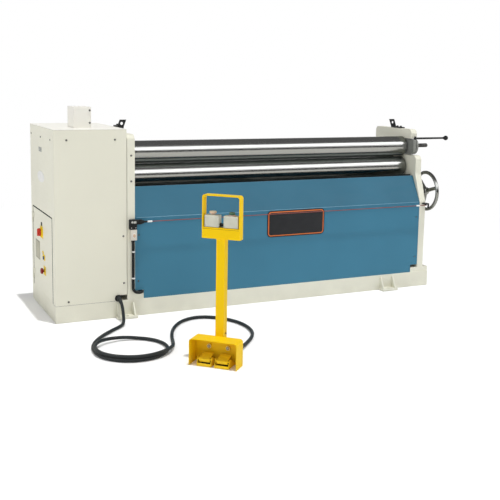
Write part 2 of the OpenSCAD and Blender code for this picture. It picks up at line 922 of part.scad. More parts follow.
module pedestal_hood() {
    color(yellow) place_on_stand() {
        difference() {
            translate([0, hood_d, 0]) rotate([90, 0, 0]) linear_extrude(hood_d) hood_outline(0);
            translate([0, hood_d - hood_t, -eps]) rotate([90, 0, 0])
                linear_extrude(hood_d) hood_outline(hood_t);
        }
        for (x = [-49, 49]) bar_y(hood_d - hood_t - 8, hood_d - 1, x, hood_h - 52, 22);
    }
}

module pedestal_post() {
    w = post_w / 2;
    color(yellow) place_on_stand() difference() {
        block([-w, hood_d, 0], [w, hood_d + post_w, bracket_z]);
        block([-w + post_t, hood_d + post_t, post_t],
              [w - post_t, hood_d + post_w - post_t, bracket_z - post_t]);
    }
}

module loop_outline(inset) {
    w = bracket_w / 2 - inset;
    z0 = bracket_z + inset;
    z1 = bracket_z + bracket_h - inset;
    r = 14 - inset / 2;
    difference() {
        translate([-w, z0]) square([2 * w, z1 - z0]);
        corner_waste(-w, z1, 270, r);
        corner_waste(w, z1, 180, r);
    }
}

// A loop of strip round the control boxes, on an apron that is open at the back
module control_bracket() {
    t = strip_t;
    color(yellow) place_on_stand() difference() {
        translate([0, bracket_y + bracket_d, 0]) rotate([90, 0, 0])
            linear_extrude(bracket_d) loop_outline(0);
        intersection() {
            translate([0, bracket_y + bracket_d + 1, 0]) rotate([90, 0, 0])
                linear_extrude(bracket_d + 2) loop_outline(t);
            block([-bracket_w, 0, control_z], [bracket_w, 2 * stand_mid_y, 2 * control_z]);
        }
        block([-bracket_w / 2 + t, bracket_y + t, bracket_z + t],
              [bracket_w / 2 - t, bracket_y + bracket_d + 1, control_z - t]);
    }
}

control_mid = (control_gap + control_w) / 2;
button_stem_d = 16;
button_stem_l = 18;

module control_boxes() {
    color([0.72, 0.72, 0.7]) place_on_stand() for (s = [-1, 1]) translate([s * control_mid, 0, 0])
        difference() {
            union() {
                block([-control_w / 2, stand_mid_y - control_d / 2, control_z],
                      [control_w / 2, stand_mid_y + control_d / 2, button_seat]);
                translate([0, stand_mid_y, button_seat - 1]) cylinder(h = 7, d = button_d + 6);
            }
            translate([0, stand_mid_y, button_seat - button_stem_l - 8])
                cylinder(h = button_stem_l + 20, d = button_stem_d + 2 * run_fit);
            translate([0, stand_mid_y, button_seat])
                cylinder(h = 10, d = button_d + 2);
        }
}

module push_button(s) {
    place_on_stand() translate([s * control_mid, stand_mid_y, button_seat]) {
        translate([0, 0, 5]) cylinder(h = 13, d = button_d);
        translate([0, 0, -button_stem_l]) cylinder(h = button_stem_l + 6, d = button_stem_d);
    }
}

module button_left() {
    color([0.8, 0.66, 0.5]) push_button(-1);
}

module button_right() {
    color([0.2, 0.5, 0.3]) push_button(1);
}

pedal_base_w = pedal_w + 18;
cheek_t = 3;

module pedal_bases() {
    y1 = hood_d - hood_t;
    color(yellow) place_on_stand() for (s = [-1, 1]) translate([s * pedal_x, 0, 0]) {
        difference() {
            union() {
                block([-pedal_base_w / 2, 4, 0], [pedal_base_w / 2, y1, 3]);
                for (x = [-pedal_base_w / 2, pedal_base_w / 2 - cheek_t])
                    along_x(x, x + cheek_t) polygon([
                        [4, 0], [4, 14], [pedal_hinge_y, pedal_hinge_z + 9],
                        [pedal_hinge_y + 14, pedal_hinge_z + 9], [y1 - 6, 16], [y1, 0]
                    ]);
            }
            bar_x(-pedal_base_w, pedal_base_w, pedal_hinge_y, pedal_hinge_z,
                  pedal_pin_d + 2 * run_fit);
        }
    }
}

module pedal(s) {
    w = pedal_w / 2;
    place_on_stand() translate([s * pedal_x, pedal_hinge_y, pedal_hinge_z]) {
        bar_x(-pedal_base_w / 2, pedal_base_w / 2, 0, 0, pedal_pin_d);
        rotate([pedal_rise, 0, 0]) {
            block([-w, -4, 2], [w, pedal_l - 4, 6]);
            block([-w, -8, -6], [w, -4, 6]);
        }
    }
}

module pedal_left() {
    color(yellow) pedal(-1);
}

module pedal_right() {
    color(yellow) pedal(1);
}

// Control cable ------------------------------------------------------

floor_z = cable_d / 2 + 0.3;
stacked_z = floor_z + cable_d + 0.6;
outlet_z = base_h + outlet_h / 2;
gland_reach = 14;
gland_d = cable_d + 10;
gland_flange_d = gland_d + 12;
gland_flange_t = 5;
gland_x = cabinet_w - outlet_w + gland_d / 2 + 1;
entry_x = 46;
entry_z = 30;
entry_y = hood_d + gland_reach;
loop_x = 245;
loop_y = -610;

// The loop: one and a half turns, anticlockwise from the left, with the
// last half turn resting on the first
function loop_rise(k) = (stacked_z - floor_z) * min(max((k - 12) / 4, 0), 1);
loop_points = [
    for (k = [0:18]) let (a = 180 + 20 * k)
        [loop_x + loop_r * cos(a), loop_y + loop_r * sin(a), floor_z + loop_rise(k)]
];

route = concat(
    [[gland_x, -gland_reach, outlet_z], [gland_x, -49, 106.7], [gland_x, -78, 88.5],
     [gland_x - 1, -98, 61.2], [gland_x - 4, -117, 33.8], [gland_x - 11, -146, 15.6],
     [331, -176, floor_z], [309, -205, floor_z], [276, -236, floor_z], [228, -278, floor_z],
     [178, -330, floor_z], [132, -388, floor_z], [92, -453, floor_z], [66, -528, floor_z]],
    loop_points,
    [[70, -674, stacked_z], [112, -741, stacked_z], [182, -786, stacked_z],
     [258, -799, stacked_z], [338, -779, stacked_z], [408, -728, stacked_z],
     [452, -660, floor_z + 8], [478, -582, floor_z], [509, -470, floor_z],
     [554, -364, floor_z], [626, -258, floor_z], [708, -200, floor_z], [785, -192, floor_z],
     [850, -228, floor_z], [912, -298, floor_z], [946, -380, floor_z], [956, -465, floor_z],
     [944, -563, floor_z], [904, -646, floor_z], [852, -712, floor_z], [796, -776, 12],
     [738, -842, 20], [690, -898, 28]],
    [on_stand(entry_x, entry_y, entry_z)]
);

cable_sides = 10;
last_point = len(route) - 1;

// The route drawn on by one step at each end, so that the curve starts and ends on it
function route_at(i) =
    i < 0 ? 2 * route[0] - route[1]
    : i > last_point ? 2 * route[last_point] - route[last_point - 1] : route[i];

// A point of the cubic B-spline of the route, at u from 0 to last_point
function curve_at(u) =
    let (i = min(floor(u), last_point - 1), t = u - i,
         a = route_at(i - 1), b = route_at(i), c = route_at(i + 1), d = route_at(i + 2))
    (pow(1 - t, 3) * a + (3 * pow(t, 3) - 6 * t * t + 4) * b
     + (-3 * pow(t, 3) + 3 * t * t + 3 * t + 1) * c + pow(t, 3) * d) / 6;

function unit(v) = v / norm(v);

cable_rings = 79;
ring_u = [for (k = [0:cable_rings - 1]) k * last_point / (cable_rings - 1)];
ring_mid = [for (u = ring_u) curve_at(u)];
ring_dir = [for (k = [0:cable_rings - 1])
    k == 0 ? [0, -1, 0] : k == cable_rings - 1 ? concat(turned([0, -1]), 0)
    : unit(ring_mid[k + 1] - ring_mid[k - 1])];

module control_cable() {
    points = [
        for (k = [0:cable_rings - 1]) let (
            side = unit(cross(ring_dir[k], [0, 0, 1])), up = cross(side, ring_dir[k]))
        for (j = [0:cable_sides - 1]) let (a = 360 * j / cable_sides)
            ring_mid[k] + cable_d / 2 * (cos(a) * side + sin(a) * up)
    ];
    walls = [
        for (k = [0:cable_rings - 2]) for (j = [0:cable_sides - 1])
            let (n = (j + 1) % cable_sides, p = k * cable_sides, q = p + cable_sides)
            [p + j, p + n, q + n, q + j]
    ];
    first = [for (j = [cable_sides - 1:-1:0]) j];
    last = [for (j = [0:cable_sides - 1]) (cable_rings - 1) * cable_sides + j];
    color(black) place() polyhedron(points, concat([first], walls, [last]));
}

module cable_glands() {
    color(black) {
        place() {
            bar_y(-gland_reach, 20, gland_x, outlet_z, gland_d);
            bar_y(-gland_flange_t, 0, gland_x, outlet_z, gland_flange_d);
        }
        place_on_stand() bar_y(hood_d, entry_y, entry_x, entry_z, gland_d);
    }
}

base_frame();
anchor_feet();
left_side_frame();
right_side_frame();
left_frame_cover();
tie_beam();
front_panel();
rear_panel();
top_roll();
pinch_roll();
bending_roll();
swing_bearing_block();
release_lever();
lifting_lugs();
handwheel();
handwheel_bearing();
cabinet_front_cover();
cabinet_side_cover();
cabinet_back_cover();
cabinet_lid();
guard_box();
electrical_box();
mounting_plate();
electrical_door();
door_hinges();
door_plates();
main_switch_handle();
door_label_plate();
door_buttons();
emergency_stop_head();
trip_switch_head();
trip_switch_box();
trip_wire();
wire_brackets();
switch_conduit();
conduit_clips();
pedestal_hood();
pedestal_post();
control_bracket();
control_boxes();
button_left();
button_right();
pedal_bases();
pedal_left();
pedal_right();
control_cable();
cable_glands();
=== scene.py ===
import math
import bpy
import numpy as np
from mathutils import Matrix, Vector


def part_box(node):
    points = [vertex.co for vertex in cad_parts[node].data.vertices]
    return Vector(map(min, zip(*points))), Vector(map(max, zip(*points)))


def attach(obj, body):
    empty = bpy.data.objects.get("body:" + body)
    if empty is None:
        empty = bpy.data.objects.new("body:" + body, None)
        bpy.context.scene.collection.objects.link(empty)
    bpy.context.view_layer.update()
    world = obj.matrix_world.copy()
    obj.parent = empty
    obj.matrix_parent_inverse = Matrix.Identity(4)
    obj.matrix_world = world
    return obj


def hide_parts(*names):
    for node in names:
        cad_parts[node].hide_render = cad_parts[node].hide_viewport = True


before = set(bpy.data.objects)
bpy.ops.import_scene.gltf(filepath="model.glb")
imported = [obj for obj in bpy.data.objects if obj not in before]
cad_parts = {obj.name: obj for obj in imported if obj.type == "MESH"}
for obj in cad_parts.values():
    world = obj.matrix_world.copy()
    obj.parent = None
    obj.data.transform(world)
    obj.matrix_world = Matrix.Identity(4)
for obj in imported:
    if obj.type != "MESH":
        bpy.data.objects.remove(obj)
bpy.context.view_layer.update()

# Places on the machine are in millimetres from the cabinet's front, left, bottom
# corner. Those on the foot-control stand are from the middle of its post, across
# and back from the hood's front.
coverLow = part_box("cabinet_front_cover")[0]
postLow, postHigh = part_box("pedestal_post")
machineCorner = np.array([coverLow.x, coverLow.y, 0.0])
postMiddle = np.array([(postLow.x + postHigh.x) / 2, (postLow.y + postHigh.y) / 2, 0.0])
postFromHood = 109.5
up = np.array([0.0, 0.0, 1.0])
slant = math.sqrt(0.5)
standAxes = np.array([[slant, -slant, 0], [slant, slant, 0], up])
across, behind = standAxes[:2]
toFront, toBack, toLeft, toRight = (0, -1, 0), (0, 1, 0), (-1, 0, 0), (1, 0, 0)


def onMachine(x, y, z):
    return machineCorner + np.array([x, y, z], float) / 1000


def onStand(x, y, z):
    return postMiddle + np.array([x, y - postFromHood, z], float) @ standAxes / 1000


machineFrame = (onMachine(0, 0, 0), np.eye(3))
standFrame = (onStand(0, 0, 0), standAxes)

# Surfaces. Each one is (points in metres, quads, triangles), and a part is a surface with
# the name of its finish. makePiece joins parts into one mesh.

def unit(arrows):
    # each direction over its own length
    return arrows / np.linalg.norm(arrows, axis=-1, keepdims=True)


def axesFor(outward):
    # right, up and outward: right is level, and up is as near upright as it can be. Three
    # given directions stay as they are
    outward = unit(np.array(outward, float))
    if outward.ndim == 2:
        return outward
    if abs(outward[2]) > 0.999:
        return np.array([[1.0, 0, 0], [0, outward[2], 0], [0, 0, outward[2]]])
    right = unit(np.cross(up, outward))
    return np.array([right, np.cross(outward, right), outward])


def gridFaces(rows, columns, hoop=False):
    # quads between neighbouring rings, and a fan of triangles to the middle of each end
    i = np.arange(rows if hoop else rows - 1)[:, None]
    j = np.arange(columns)[None, :]
    k, above = (j + 1) % columns, (i + 1) % rows * columns
    i = i * columns
    quads = np.stack([i + j, i + k, above + k, above + j], axis=-1).reshape(-1, 4)
    if hoop:
        return quads, np.zeros((0, 3), int)
    j, k = j[0], k[0]
    top = (rows - 1) * columns
    low = np.stack([k, j, 0 * j + rows * columns], axis=-1)
    high = np.stack([top + j, top + k, 0 * j + rows * columns + 1], axis=-1)
    return quads, np.concatenate([low, high])


def ringSurface(rings, places, hoop=False):
    # a stack of rings in mm, carried to each place: point + (right, up, outward) . axes
    ends = np.zeros((0, 3)) if hoop else np.stack([rings[0].mean(0), rings[-1].mean(0)])
    one = np.concatenate([rings.reshape(-1, 3), ends]) / 1000
    points = np.concatenate([one @ axes + point for point, axes in places])
    quads, triangles = gridFaces(*rings.shape[:2], hoop)
    steps = np.arange(len(places))[:, None, None] * len(one)
    return points, (quads[None] + steps).reshape(-1, 4), (triangles[None] + steps).reshape(-1, 3)


def roundRings(profile, sides):
    # a profile of (height, radius) turned about the outward axis
    heights, radii = np.array(profile, float).T[:, :, None]
    turn = 2 * np.pi * np.arange(sides)[None, :] / sides
    return np.stack([radii * np.cos(turn), radii * np.sin(turn), heights + 0 * turn], axis=-1)


def turned(finish, profile, points, outward, sides=48, hoop=False):
    # the profile turned at one point or at several
    places = [(point, axesFor(outward)) for point in np.reshape(points, (-1, 3))]
    return ringSurface(roundRings(profile, sides), places, hoop), finish


def roundedOutline(corners, radii, steps=6):
    # each corner gives way to an arc of its radius that touches both of its edges
    corners = np.array(corners, float)
    toLast, toNext = (unit(np.roll(corners, turn, 0) - corners) for turn in (1, -1))
    half = np.arccos(np.clip((toLast * toNext).sum(1), -1, 1)) / 2
    middle = corners + unit(toLast + toNext) * (radii / np.sin(half))[:, None]
    reach = (radii / np.tan(half))[:, None]
    start, end = (corners + edge * reach - middle for edge in (toLast, toNext))
    sweep = (np.pi - 2 * half)[:, None, None]
    t = np.linspace(0, 1, steps)[None, :, None]
    arc = np.sin((1 - t) * sweep) * start[:, None] + np.sin(t * sweep) * end[:, None]
    return (middle[:, None] + arc / np.maximum(np.sin(sweep), 1e-6)).reshape(-1, 2)


def ovalOutline(wide, high, count):
    # (half the width cos t, half the height sin t)
    t = 2 * np.pi * np.arange(count) / count
    return np.stack([wide * np.cos(t), high * np.sin(t)], axis=1)


def slab(finish, outline, layers, point, outward):
    # an outline (right, up) at each layer (height, inset), moved inwards along its mitres: the
    # sum of a corner's two edge normals over 1 + their dot product
    edges = unit(outline - np.roll(outline, 1, 0))
    first = np.stack([edges[:, 1], -edges[:, 0]], 1)
    second = np.roll(first, -1, 0)
    mitre = (first + second) / (1 + (first * second).sum(1, keepdims=True))
    heights, insets = np.array(layers, float).T[:, :, None, None]
    flat = outline[None] - insets * mitre[None]
    rings = np.concatenate([flat, np.broadcast_to(heights, (*flat.shape[:2], 1))], axis=2)
    return ringSurface(rings, [(point, axesFor(outward))]), finish


def roundedBox(finish, low, high, edge, place=machineFrame):
    # all twelve edges are arcs: an arc's height is edge (1 - cos t) and its inset edge (1 - sin t)
    low, high = np.array(low, float), np.array(high, float)
    wide, deep, tall = (high - low) / 2
    t = np.linspace(0, np.pi / 2, 4)
    rise, inset = edge * (1 - np.cos(t)), edge * (1 - np.sin(t))
    layers = [*zip(rise - tall, inset), *zip(tall - rise[::-1], inset[::-1])]
    heights, insets = np.array(layers).T[:, :, None, None]
    turn = t[None, :] + np.pi / 2 * np.arange(4)[:, None]
    radius = np.maximum(edge - insets, 0.02)
    x = (wide - insets - radius) * np.array([1, -1, -1, 1])[:, None] + radius * np.cos(turn)
    y = (deep - insets - radius) * np.array([1, 1, -1, -1])[:, None] + radius * np.sin(turn)
    rings = np.stack([x, y, heights + 0 * x], axis=-1).reshape(len(layers), -1, 3)
    point, axes = place
    return ringSurface(rings, [(point + (low + high) / 2000 @ axes, axes)]), finish


def straight(start, end, count):
    # even steps: start + t (end - start)
    return start + np.linspace(0, 1, count)[:, None] * (end - start)


def tube(finish, path, radius, sides):
    # a round section of the given radius in mm (one, or one for each ring) along a path, on
    # two directions across it that don't spin, the first one level
    path = np.asarray(path, float)
    ahead = unit(np.gradient(path, axis=0))
    side = np.cross(ahead, up)
    weak = np.linalg.norm(side, axis=1) < 0.05
    side[weak] = np.cross(ahead[weak], toBack)
    side = unit(side)
    high = np.cross(side, ahead)
    turn = 2 * np.pi * np.arange(sides)[None, :, None] / sides
    radius = np.broadcast_to(np.asarray(radius, float) / 1000, len(path))[:, None, None]
    rings = path[:, None] + radius * (np.cos(turn) * side[:, None] - np.sin(turn) * high[:, None])
    points = np.concatenate([rings.reshape(-1, 3), path[:1], path[-1:]])
    quads, triangles = gridFaces(len(path), sides)
    return (points, quads[:, ::-1], triangles[:, ::-1]), finish


def splineCurve(points, perSpan):
    # cubic B-spline: a point is (1-t)^3 a + (3t^3-6t^2+4) b + (-3t^3+3t^2+3t+1) c + t^3 d, over 6
    points = np.asarray(points, float)
    spans = len(points) - 1
    points = np.concatenate([[2 * points[0] - points[1]], points, [2 * points[-1] - points[-2]]])
    u = np.linspace(0, spans, perSpan * spans + 1)
    i = np.minimum(np.floor(u).astype(int), spans - 1)
    t = (u - i)[:, None]
    return ((1 - t)**3 * points[i] + (3 * t**3 - 6 * t**2 + 4) * points[i + 1]
            + (-3 * t**3 + 3 * t**2 + 3 * t + 1) * points[i + 2] + t**3 * points[i + 3]) / 6


def makeMesh(name, points, quads, triangles, materials, ofFaces=0):
    # smooth faces, with a sharp edge where two of them meet at more than this angle
    sharpAngle = 38
    mesh = bpy.data.meshes.new(name)
    mesh.vertices.add(len(points))
    mesh.vertices.foreach_set("co", np.asarray(points, np.float32).ravel())
    corners = np.concatenate([np.ravel(quads), np.ravel(triangles)]).astype(np.int32)
    mesh.loops.add(len(corners))
    mesh.loops.foreach_set("vertex_index", corners)
    sizes = np.array([4] * len(quads) + [3] * len(triangles))
    mesh.polygons.add(len(sizes))
    mesh.polygons.foreach_set("loop_start", np.cumsum(sizes) - sizes)
    mesh.polygons.foreach_set("loop_total", sizes)
    mesh.polygons.foreach_set("use_smooth", np.ones(len(sizes), bool))
    for material in materials:
        mesh.materials.append(material)
    mesh.polygons.foreach_set("material_index", np.array(ofFaces + 0 * sizes, np.int32))
    mesh.update(calc_edges=True)
    mesh.validate()
    mesh.set_sharp_from_angle(angle=math.radians(sharpAngle))
    piece = bpy.data.objects.new(name, mesh)
    bpy.context.scene.collection.objects.link(piece)
    return piece


def makePiece(name, parts, body="root", node=None):
    # the piece rides a body and may stand for a CAD node
    used = list(dict.fromkeys(finish for _, finish in parts))
    offsets = np.cumsum([0, *(len(surface[0]) for surface, _ in parts)])
    points = np.concatenate([surface[0] for surface, _ in parts])
    quads, triangles = (
        np.concatenate([surface[k] + offset for (surface, _), offset in zip(parts, offsets)])
        for k in (1, 2))
    ofFaces = [np.full(len(surface[k]), used.index(finish))
               for k in (1, 2) for surface, finish in parts]
    piece = makeMesh(name, points, quads, triangles, [finishes[finish] for finish in used],
                     np.concatenate(ofFaces))
    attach(piece, body)
    if node:
        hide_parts(node)
    return piece


# Camera
def setCamera():
    view = {"azimuth": -25.72, "elevation": 8.08, "roll": 1.058,
            "lens": 62.24, "shiftX": -0.0147, "shiftY": -0.103,
            "place": (-2.3183, -4.9921, 1.3866)}
    a, e, r = (math.radians(view[k]) for k in ("azimuth", "elevation", "roll"))
    back = Vector((math.sin(a) * math.cos(e), -math.cos(a) * math.cos(e), math.sin(e)))
    right = (-back).cross(Vector(up)).normalized()
    top = right.cross(-back)
    camera = bpy.data.objects.new("camera", bpy.data.cameras.new("camera"))
    camera.data.lens = view["lens"]
    camera.data.sensor_width = 36
    camera.data.shift_x = view["shiftX"]
    camera.data.shift_y = view["shiftY"]
    camera.data.clip_end = 60
    turn = Matrix((math.cos(r) * right + math.sin(r) * top,
                   -math.sin(r) * right + math.cos(r) * top, back)).transposed().to_4x4()
    camera.matrix_world = Matrix.Translation(view["place"]) @ turn
    bpy.context.scene.collection.objects.link(camera)
    bpy.context.scene.camera = camera


setCamera()
print("camera set")

# Effects that several finishes use, each a node group
def join(tree, value, socket):
    if isinstance(value, bpy.types.NodeSocket):
        tree.links.new(value, socket)
    else:
        socket.default_value = value


def addNode(tree, kind, **settings):
    # a node with its properties and, for keys that start with in_, its inputs set or linked
    node = tree.nodes.new("ShaderNode" + kind)
    for key, value in settings.items():
        if key.startswith("in_"):
            key = key[3:].replace("_", " ")
            join(tree, value, node.inputs[int(key) if key.isdigit() else key])
        else:
            setattr(node, key, value)
    return node


def maths(tree, operation, first, second=0.0, clamp=False):
    return addNode(tree, "Math", operation=operation, use_clamp=clamp,
                   in_0=first, in_1=second).outputs[0]


def times(tree, first, second):
    return maths(tree, "MULTIPLY", first, second)


def plus(tree, first, second):
    return maths(tree, "ADD", first, second)


def remap(tree, value, low, high, newLow=0.0, newHigh=1.0):
    return addNode(tree, "MapRange", in_0=value, in_1=low, in_2=high,
                   in_3=newLow, in_4=newHigh).outputs[0]


def mixColour(tree, factor, first, second):
    return addNode(tree, "Mix", data_type="RGBA", in_0=factor, in_6=first, in_7=second).outputs[2]


def brightened(tree, colour, factor):
    return addNode(tree, "VectorMath", operation="SCALE", in_0=colour, in_Scale=factor).outputs[0]


def onObject(tree):
    return addNode(tree, "TexCoord").outputs["Object"]


def upwards(tree):
    # the height of each face's normal
    normal = addNode(tree, "NewGeometry").outputs["Normal"]
    return addNode(tree, "SeparateXYZ", in_0=normal).outputs[2]


def noiseOf(tree, scale, detail=3.0, stretch=(1, 1, 1)):
    # noise on object coordinates, squeezed along an axis where stretch is above 1
    mapping = addNode(tree, "Mapping", in_Vector=onObject(tree), in_Scale=stretch)
    return addNode(tree, "TexNoise", in_Vector=mapping.outputs[0], in_Scale=scale,
                   in_Detail=detail, in_Roughness=0.5).outputs[0]


def newGroup(name, effect, inputs):
    # the effect makes the outputs from the inputs, whose kind shows in the size of their default
    group = bpy.data.node_groups.new(name, "ShaderNodeTree")
    kinds = {1: "NodeSocketFloat", 3: "NodeSocketVector", 4: "NodeSocketColor"}
    for label, value in inputs.items():
        kind = kinds[np.size(value)]
        group.interface.new_socket(
            name=label, in_out="INPUT", socket_type=kind).default_value = value
    results = effect(group, group.nodes.new("NodeGroupInput").outputs)
    for label in results:
        kind = kinds[4 if label == "Colour" else 1]
        group.interface.new_socket(name=label, in_out="OUTPUT", socket_type=kind)
    end = group.nodes.new("NodeGroupOutput")
    for label, socket in results.items():
        group.links.new(socket, end.inputs[label])
    return group


def rubAndHighlightMask(tree, given):
    # how far the rounded normal leans from the flat one, broken up by noise
    rounded = addNode(tree, "Bevel", samples=4, in_Radius=given["Width"]).outputs[0]
    flat = addNode(tree, "NewGeometry").outputs["Normal"]
    dot = addNode(tree, "VectorMath", operation="DOT_PRODUCT", in_0=rounded, in_1=flat)
    lean = remap(tree, dot.outputs["Value"], 0.995, 0.86)
    spots = remap(tree, noiseOf(tree, given["Breakup"]), 0.38, 0.62)
    return {"Mask": maths(tree, "MULTIPLY", lean, spots, clamp=True)}


def settling(tree, given):
    # dust lies on faces that look up, and the colour is darker near the floor
    patches = noiseOf(tree, 9.0, 5.0)
    height = addNode(tree, "SeparateXYZ", in_0=onObject(tree)).outputs[2]
    low = remap(tree, height, given["Floor Height"], 0.0)
    return {"Dust": times(tree, remap(tree, upwards(tree), 0.5, 1.0),
                          remap(tree, patches, 0.35, 0.75)),
            "Low Darkening": times(tree, low, remap(tree, patches, 0.3, 0.8))}


def edgesRubbedAndLit(tree, colour, edge, width, amount):
    # edges lean to the edge colour: worn, and on the blue paint partly a painted highlight
    wear = addNode(tree, "Group", node_tree=edgeRubAndHighlight, in_Width=width).outputs[0]
    return mixColour(tree, times(tree, wear, amount), colour, edge)


def painting(tree, given):
    # sprayed paint: slow drifts of tone, orange peel, worn edges (on the blue partly a painted
    # highlight), painted shade on faces that look up, dust, and darker colour towards the floor
    drift = times(tree, remap(tree, noiseOf(tree, 2.3, 2.0), 0.3, 0.7, -1.0, 1.0), given["Drift"])
    # painted shade: faces that look up are darkened by the upward shade amount
    paintedUpShade = times(tree, remap(tree, upwards(tree), 0.2, 0.6), given["Slope Shade"])
    colour = brightened(tree, given["Colour"],
                        maths(tree, "SUBTRACT", plus(tree, drift, 1.0), paintedUpShade))
    colour = edgesRubbedAndLit(tree, colour, given["Edge Colour"], given["Wear Width"], given["Wear"])
    settled = addNode(tree, "Group", node_tree=settledDust).outputs
    dusty = times(tree, settled["Dust"], given["Dust"])
    colour = mixColour(tree, dusty, colour, (0.62, 0.60, 0.56, 1))
    # darker towards the floor
    colour = mixColour(tree, times(tree, settled["Low Darkening"], 0.22), colour, (0.25, 0.23, 0.19, 1))
    scuffs = remap(tree, noiseOf(tree, 14.0, 6.0, (1, 1, 3)), 0.45, 0.75, 0.0, 0.14)
    rough = plus(tree, plus(tree, given["Gloss"], scuffs), times(tree, dusty, 2.0))
    return {"Colour": colour, "Roughness": rough, "Height": noiseOf(tree, 240.0, 2.0)}


def cutting(tree, given):
    # cut or ground steel: fine lines at right angles to the squeezed axis, faint stains
    squeezed = addNode(tree, "VectorMath", operation="MULTIPLY", in_0=onObject(tree),
                       in_1=given["Line Scale"]).outputs[0]
    lines = addNode(tree, "TexNoise", in_Vector=squeezed, in_Scale=1.0, in_Detail=4.0,
                    in_Roughness=0.7).outputs[0]
    depth = times(tree, remap(tree, lines, 0.3, 0.7, -1.0, 1.0), given["Line Depth"])
    stains = times(tree, remap(tree, noiseOf(tree, 7.0, 6.0), 0.45, 0.8), given["Stain"])
    colour = brightened(tree, given["Colour"], plus(tree, depth, 1.0))
    colour = mixColour(tree, stains, colour, (0.20, 0.17, 0.14, 1))
    colour = edgesRubbedAndLit(tree, colour, (0.85, 0.85, 0.85, 1), 0.0012, 0.4)
    rough = plus(tree, given["Gloss"], maths(tree, "ABSOLUTE", times(tree, depth, 0.5)))
    rough = maths(tree, "ADD", rough, times(tree, stains, 0.5), clamp=True)
    return {"Colour": colour, "Roughness": rough, "Height": lines}


def moulding(tree, given):
    # moulded plastic or rubber: fine pitted grain, slightly paler worn edges, dust on top
    drift = remap(tree, noiseOf(tree, 20.0, 3.0), 0.3, 0.7, 0.93, 1.07)
    colour = brightened(tree, given["Colour"], drift)
    colour = edgesRubbedAndLit(tree, colour, (0.75, 0.74, 0.72, 1), 0.001, given["Wear"])
    dust = addNode(tree, "Group", node_tree=settledDust).outputs["Dust"]
    colour = mixColour(tree, times(tree, dust, 0.12), colour, (0.55, 0.53, 0.50, 1))
    rough = plus(tree, given["Gloss"], remap(tree, noiseOf(tree, 45.0, 4.0), 0.35, 0.75, 0.0, 0.15))
    return {"Colour": colour, "Roughness": rough,
            "Height": noiseOf(tree, given["Grain Scale"], 2.0)}


anyColour = (0.8, 0.8, 0.8, 1)
edgeRubAndHighlight = newGroup("edgeRubAndHighlight", rubAndHighlightMask, {"Width": 0.002, "Breakup": 60.0})
settledDust = newGroup("settledDust", settling, {"Floor Height": 0.12})
sprayedPaint = newGroup("sprayedPaint", painting, {
    "Colour": anyColour, "Edge Colour": anyColour, "Drift": 0.05, "Wear Width": 0.0015, "Wear": 0.4,
    "Gloss": 0.35, "Dust": 0.1, "Slope Shade": 0.0})
cutSteel = newGroup("cutSteel", cutting, {
    "Colour": anyColour, "Line Scale": (1, 1, 1), "Line Depth": 0.2, "Gloss": 0.2, "Stain": 0.1})
mouldedPlastic = newGroup("mouldedPlastic", moulding, {
    "Colour": anyColour, "Grain Scale": 900.0, "Gloss": 0.4, "Wear": 0.15})

# painted shade: seen in a roll these take a darker colour, and a softer look, than by themselves
paintedShadeInRolls = {"groundRoll": (0.26, 0.29, 0.275, 1), "creamPaint": (0.26, 0.27, 0.22, 1)}
finishes, recordSlots = {}, {}


def emptyMaterial(name):
    material = bpy.data.materials.new(name)
    material.use_nodes = True
    material.node_tree.nodes.clear()
    return material, material.node_tree


def newFinish(name, group, inputs, shine=0.5, metallic=0.0, bump=0.1, edgeRound=0.0012):
    # a group's colour, roughness and height on a shader whose normal is rounded a little at edges
    finish, tree = emptyMaterial(name)
    effect = addNode(tree, "Group", node_tree=group)
    for label, value in inputs.items():
        socket = effect.inputs[label]
        socket.default_value = (*value, 1) if socket.type == "RGBA" else value
    colour, rough = effect.outputs["Colour"], effect.outputs["Roughness"]
    # painted shade: a darker, rougher look where a reflection ray sees this finish
    if name in paintedShadeInRolls:
        inRoll = addNode(tree, "LightPath").outputs["Is Glossy Ray"]
        colour = mixColour(tree, inRoll, colour, paintedShadeInRolls[name])
        rough = plus(tree, times(tree, inRoll, 0.35), rough)
    bumps = addNode(tree, "Bump", in_Strength=bump, in_Distance=0.0002,
                    in_Height=effect.outputs["Height"])
    if edgeRound:
        rounded = addNode(tree, "Bevel", samples=4, in_Radius=edgeRound)
        join(tree, rounded.outputs[0], bumps.inputs["Normal"])
    shader = addNode(tree, "BsdfPrincipled", in_Base_Color=colour, in_Roughness=rough,
                     in_Metallic=metallic, in_Specular_IOR_Level=shine, in_Normal=bumps.outputs[0])
    addNode(tree, "OutputMaterial", in_0=shader.outputs[0])
    finishes[name] = finish


def addFinishes(group, labels, rows, **settings):
    # a row is its slot in the record, then values in the order of labels: capitals are the
    # group's inputs, and the others are newFinish's own
    for name, (slot, *values) in rows.items():
        row = dict(zip(labels, values))
        inputs = {label: row.pop(label) for label in labels if label[0].isupper()}
        newFinish(name, group, inputs, **row, **settings)
        recordSlots[name] = slot


